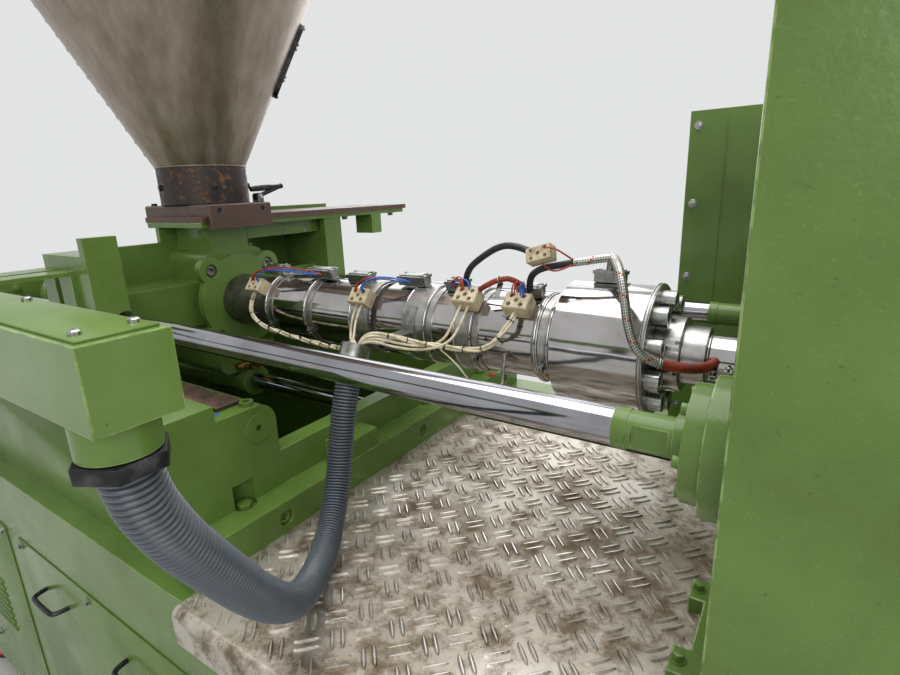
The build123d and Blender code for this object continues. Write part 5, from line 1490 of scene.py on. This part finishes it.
class HousingOperator(bpy.types.Operator):
    """Makes the bolts and fittings of the feed housing, the rail beam and the carriage cylinder"""
    bl_idname = "injection_unit.housing"
    bl_label = "Feed housing"

    def execute(self, context):
        lobes = seats((-1226.5,), (-87.0, 87.0), (AXIS_Z - 87.0, AXIS_Z + 87.0), FORWARD)
        dress(spread(socket_head(0.0135, 0.011, 0.012), lobes), "lobe_screws", "steel")
        hanging = join([
            drum(0.0055, 0.028, (0, 0, 0.014), sides=20), drum(0.0098, 0.0025, (0, 0, 0.0265), sides=24),
            drum(0.0104, 0.008, (0, 0, 0.0318), sides=6)])
        dress(spread(hanging, seats((-1240.0,), (176.0, 255.0), (1411.0,), DOWN)), "hanging_bolts", "steel")
        top = seats((-1244.0,), (58.0,), (1350.0,), UP)
        dress(spread(hexagon_head(0.012, 0.008), top), "casting_bolt", "enamel")
        cheeks = [place for side in (-1, 1)
                  for place in seats((-1338.0, -1230.0), (side * 375.0,), (1188.0, 1240.0), (0, side, 0))]
        dress(spread(hexagon_head(0.019, 0.010), cheeks), "cheek_bolts", "enamel")
        back = seats((-1414.0,), (-350, -290, 290, 350), (1300.0, 1345.0), BACK)
        dress(spread(hexagon_head(0.019, 0.010), back), "back_plate_bolts", "enamel")
        beam = seats((-1440.0, -1216.0), (410.0, 640.0), (1411.0,), DOWN)
        dress(spread(hexagon_head(0.016, 0.008), beam), "beam_under_bolts", "enamel")
        seals = [strap(*size, y) for y in (-ROD_Y, ROD_Y)
                 for size in ((34.0, 10.5, 5.0, -1245.6), (29.0, 5.5, 3.0, -1241.8))]
        dress(join(seals), "rod_wipers", "rubber")

        body = rounded(slab((0.026, 0.036, 0.024), at(-1206.0, -6.0, 1030.5)), 0.003)
        nut = drum(0.0125, 0.018, at(-1206.0, -33.0, 1034.0), ALONG_Y, 6)
        neck = drum(0.0085, 0.022, at(-1206.0, -50.0, 1035.0), ALONG_Y, 24)
        mouth = drum(0.0100, 0.012, at(-1190.0, -4.0, 1032.0), FORWARD, 24)
        cut(mouth, drum(0.0062, 0.012, at(-1185.0, -4.0, 1032.0), FORWARD, 20))
        dress(join([body, rounded(nut, 0.001, 1), rounded(neck, 0.0012, 1), mouth]), "pipe_fitting", "brass")
        rings = [strap(43.0, 3.0, 18.0, x, 0.0, CYLINDER_Z) for x in (-1222.0, -1570.0)]
        dress(join(rings), "cylinder_rings", "enamel")
        ends = circle(-1581.0, 0.0, CYLINDER_Z, 28.0, turns(4), -1)
        dress(spread(socket_head(0.006, 0.006, 0.005), ends), "cylinder_screws", "black")
        return {"FINISHED"}


class DriveOperator(bpy.types.Operator):
    """Makes the bolts, ports and covers of the injection drive"""
    bl_idname = "injection_unit.drive"
    bl_label = "Injection drive"

    def execute(self, context):
        caps = [place for y in DRIVE_Y for place in circle(-1804.0, y, AXIS_Z, 58.0, turns(8), -1)]
        for x, radius, count, side in ((-2063.0, 69.5, 8, -1), (-1920.0, 54.0, 8, 1), (-2175.0, 48.0, 6, -1)):
            caps += circle(x, 0.0, AXIS_Z, radius, turns(count), side)
        dress(spread(socket_head(0.0065, 0.007, 0.006), caps), "drive_screws", "black")
        nuts = [place for y in (-ROD_Y, ROD_Y) for place in circle(-1920.0, y, AXIS_Z, 40.0, turns(4), 1)]
        dress(spread(hexagon_head(0.016, 0.008), nuts), "drive_plate_bolts", "enamel")
        rod_nuts = [drum(0.040, 0.020, at(-2028.0, y, AXIS_Z), BACK, 6) for y in DRIVE_Y]
        dress(rounded(join(rod_nuts), 0.0015), "drive_rod_nuts", "steel")
        ports = [place for y in DRIVE_Y for place in seats((-1789.0, -1429.0), (y,), (1285.5,), UP)]
        ports += seats((-2120.0,), (-22.0, 22.0), (AXIS_Z + 54.0,), UP)
        port = join([drum(0.015, 0.010, (0, 0, 0.005), sides=28), drum(0.012, 0.010, (0, 0, 0.015), sides=6),
                     drum(0.008, 0.008, (0, 0, 0.024), sides=20)])
        dress(spread(rounded(port, 0.0008, 1), ports), "drive_ports", "zinc")
        rings = [strap(62.0, 2.5, 9.0, x) for x in (-2080.0, -2166.0)]
        rings += [strap(68.2, 2.2, 12.0, x, y) for y in DRIVE_Y for x in (-1700.0, -1520.0)]
        dress(join(rings), "drive_rings", "enamel")
        dress(rounded(strap(50.0, 14.0, 24.0, -1493.0), 0.002), "shank_coupling", "steel")
        return {"FINISHED"}


COVER_Z, COVER_FACE, COVER_MIDDLES = 490.0, 563.0, (-1820.0, -1040.0, -260.0)
END_COVER_Z, LOUVRE_STEP, LOUVRE_ROWS = 480.0, 22.0, 8
# Shape of a cover's handle: along from its middle, out from the machine's middle and height
HANDLE = ((-55, 560, 650), (-55, 592, 650), (-25, 594, 650), (25, 594, 650), (55, 592, 650), (55, 560, 650))


class BedOperator(bpy.types.Operator):
    """Makes the bed's covers with their screws, louvres and handles"""
    bl_idname = "injection_unit.bed"
    bl_label = "Bed covers"

    def execute(self, context):
        def rows(lowest):
            """Heights of the louvres of a cover."""
            return [lowest + LOUVRE_STEP * k for k in range(LOUVRE_ROWS)]

        covers, screws, ribs, handles = [], [], [], []
        for side in (-1, 1):
            for x in COVER_MIDDLES:
                face, out = (side * COVER_FACE,), (0, side, 0)
                covers.append(rounded(slab((0.70, 0.003, 0.50), at(x, side * 561.5, COVER_Z)), 0.0012))
                screws += seats((x - 335.0, x, x + 335.0), face, (COVER_Z - 235.0, COVER_Z + 235.0), out)
                if x != COVER_MIDDLES[1]:
                    ribs += seats((x - 110.0, x + 110.0), face, rows(360.0), out)
                for middle in (x - 180.0, x + 180.0):
                    handles.append(wire([at(middle + a, side * b, c) for a, b, c in HANDLE], 0.010, sides=12))
        for x, side in ((-2240.0, -1), (285.0, 1)):
            covers.append(rounded(slab((0.003, 0.84, 0.52), at(x + side * 1.5, 0, END_COVER_Z)), 0.0012))
            face, out = (x + side * 3.0,), (side, 0, 0)
            screws += seats(face, (-400.0, 0.0, 400.0), (END_COVER_Z - 240.0, END_COVER_Z + 240.0), out)
            ribs += seats(face, (-120.0, 120.0), rows(370.0), out)
        dress(join(covers), "bed_covers", "enamel", "base")
        dress(spread(hexagon_head(0.013, 0.006), screws), "bed_cover_screws", "zinc", "base")
        rib = rounded(drum(0.0055, 0.17, (0, 0, 0), FORWARD, 12), 0.002, 2)
        dress(spread(rib, ribs), "bed_louvres", "enamel", "base")
        dress(join(handles), "bed_handles", "black", "base", "lever_black", ROUND)
        ways = seats(range(-2070, -780, 180), (-382.0, 382.0), (1134.0,), UP)
        counterbore = drum(0.0072, 0.006, (0, 0, 0.003), sides=24)
        cut(bpy.data.objects["slideways_finished"], spread(counterbore, ways))
        screws = spread(socket_head(0.0062, 0.0014, 0.005), ways)
        dress(screws, "slideway_screws", "steel", "base", "oxide_steel")
        rails = seats(range(-2120, -760, 240), (-478.0, 478.0), (1156.0,), UP)
        dress(spread(socket_head(0.009, 0.007, 0.007), rails), "side_rail_screws", "enamel", "base")
        dab = stadium(0.026, 0.009, 0.0004)
        place = Matrix.Translation(at(-742.0, -420.0, 1128.0)) @ Matrix.Rotation(radians(70), 4, "Z")
        dab.data.transform(place)
        dress(dab, "paint_dab", "blue_paint", "base")
        return {"FINISHED"}


GUARD_BOLT_HEIGHTS = (930.0, 1090.0, 1260.0, 1430.0, 1600.0)
ARM_BOLT_STATIONS = (-1394.0, -1366.0, -1309.0, -1281.0)


class PlatenOperator(bpy.types.Operator):
    """Makes the platen's eyebolts and bolts, the guard's edge bolts and the duct's lid and gland nut"""
    bl_idname = "injection_unit.platen"
    bl_label = "Platen, guard and duct"

    def execute(self, context):
        eye = join([drum(0.020, 0.008, (0, 0, 0.004), sides=32), drum(0.012, 0.008, (0, 0, 0.010), sides=24),
                    hoop(0.020, 0.0065, (0, 0, 0.034), ALONG_Y, 40, 12)])
        eyes = seats((145.0,), (-280.0, 280.0), (1634.5,), UP)
        dress(spread(eye, eyes), "platen_eyebolts", "black", "base", "oxide_steel")
        feet = seats((-12.0,), (-309.0, -172.0, 172.0, 309.0), (925.3,), UP)
        dress(spread(hexagon_head(0.0125, 0.009), feet), "platen_foot_bolts", "enamel", "base")
        flange = [place for y in (-ROD_Y, ROD_Y)
                  for place in circle(-19.0, y, AXIS_Z, 53.0, range(0, 360, 60), -1)]
        dress(spread(socket_head(0.0065, 0.007, 0.006), flange), "rod_flange_screws", "enamel", "base")
        dress(rounded(strap(72.0, 9.0, 4.0, 266.0), 0.001), "locating_ring", "turned", "base")
        ring = circle(268.0, 0.0, AXIS_Z, 68.0, turns(4), 1)
        dress(spread(socket_head(0.0032, 0.002, 0.003), ring), "locating_ring_screws", "black", "base")

        edge = seats((-180.0, 205.0), (494.9,), GUARD_BOLT_HEIGHTS, NEAR)
        dress(spread(hexagon_head(0.012, 0.005), edge), "guard_bolts", "zinc", "base")
        seam = join([slab((0.0015, 0.003, 0.70), at(x, 494.2, 1263.0)) for x in (-120.0, 140.0)])
        dress(rounded(seam, 0.0005, 1), "guard_seams", "enamel", "base")

        dress(rounded(slab((1.115, 0.052, 0.002), at(-849.5, -728.0, 1401.0)), 0.0008), "duct_lid", "enamel")
        tops = seats(range(-1390, -290, 180), (-746.0, -710.0), (1402.0,), UP)
        dress(spread(button_head(0.004, 0.0025), tops), "duct_screws", "zinc")
        mouth = at(-326.0, -728.0, 1305.0)
        nut = cut(drum(0.034, 0.013, mouth, sides=6), drum(0.0234, 0.03, mouth, sides=40))
        dress(rounded(nut, 0.0012), "gland_nut", "black", slot="lever_black")
        arms = seats(ARM_BOLT_STATIONS, (-385.0,), (1200.0, 1250.0), NEAR)
        dress(spread(hexagon_head(0.013, 0.007), arms), "duct_arm_bolts", "enamel")
        return {"FINISHED"}


class UnitPanel(bpy.types.Panel):
    """Sidebar list of the pieces and their sizes"""
    bl_idname = "VIEW3D_PT_injection_unit"
    bl_label = "Injection unit"
    bl_space_type = "VIEW_3D"
    bl_region_type = "UI"
    bl_category = "Injection unit"

    def draw(self, context):
        for group in GROUPS:
            box = self.layout.box()
            for name in group.__annotations__:
                box.prop(settings(GROUPS[group]), name)
        for operator in OPERATORS:
            self.layout.operator(operator.bl_idname)


GROUPS = {PaintSettings: "paint", HoseSettings: "hose", TreadSettings: "tread", WiringSettings: "wiring",
          StageSettings: "stage"}
OPERATORS = (
    StageOperator, HoseOperator, FrameFinishOperator, RoundedEdgesOperator, TreadOperator, BandOperator,
    TerminalOperator, WiringOperator, ConduitOperator, HopperOperator, LeverOperator, HousingOperator,
    DriveOperator, BedOperator, PlatenOperator)


def register():
    for group, name in GROUPS.items():
        bpy.utils.register_class(group)
        setattr(bpy.types.Scene, "injection_unit_" + name, bpy.props.PointerProperty(type=group))
    for operator in OPERATORS:
        bpy.utils.register_class(operator)
    bpy.utils.register_class(UnitPanel)


def unregister():
    bpy.utils.unregister_class(UnitPanel)
    for operator in reversed(OPERATORS):
        bpy.utils.unregister_class(operator)
    for group, name in GROUPS.items():
        delattr(bpy.types.Scene, "injection_unit_" + name)
        bpy.utils.unregister_class(group)


def main():
    frame_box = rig.bounds()
    register()
    for operator in OPERATORS:
        family, name = operator.bl_idname.split(".")
        getattr(getattr(bpy.ops, family), name)()
    shown_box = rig.bounds()
    with open("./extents.json", "w") as sizes:
        json.dump({"frame": [list(corner) for corner in frame_box],
                   "shown": [list(corner) for corner in shown_box]}, sizes)


if __name__ == "__main__":
    main()
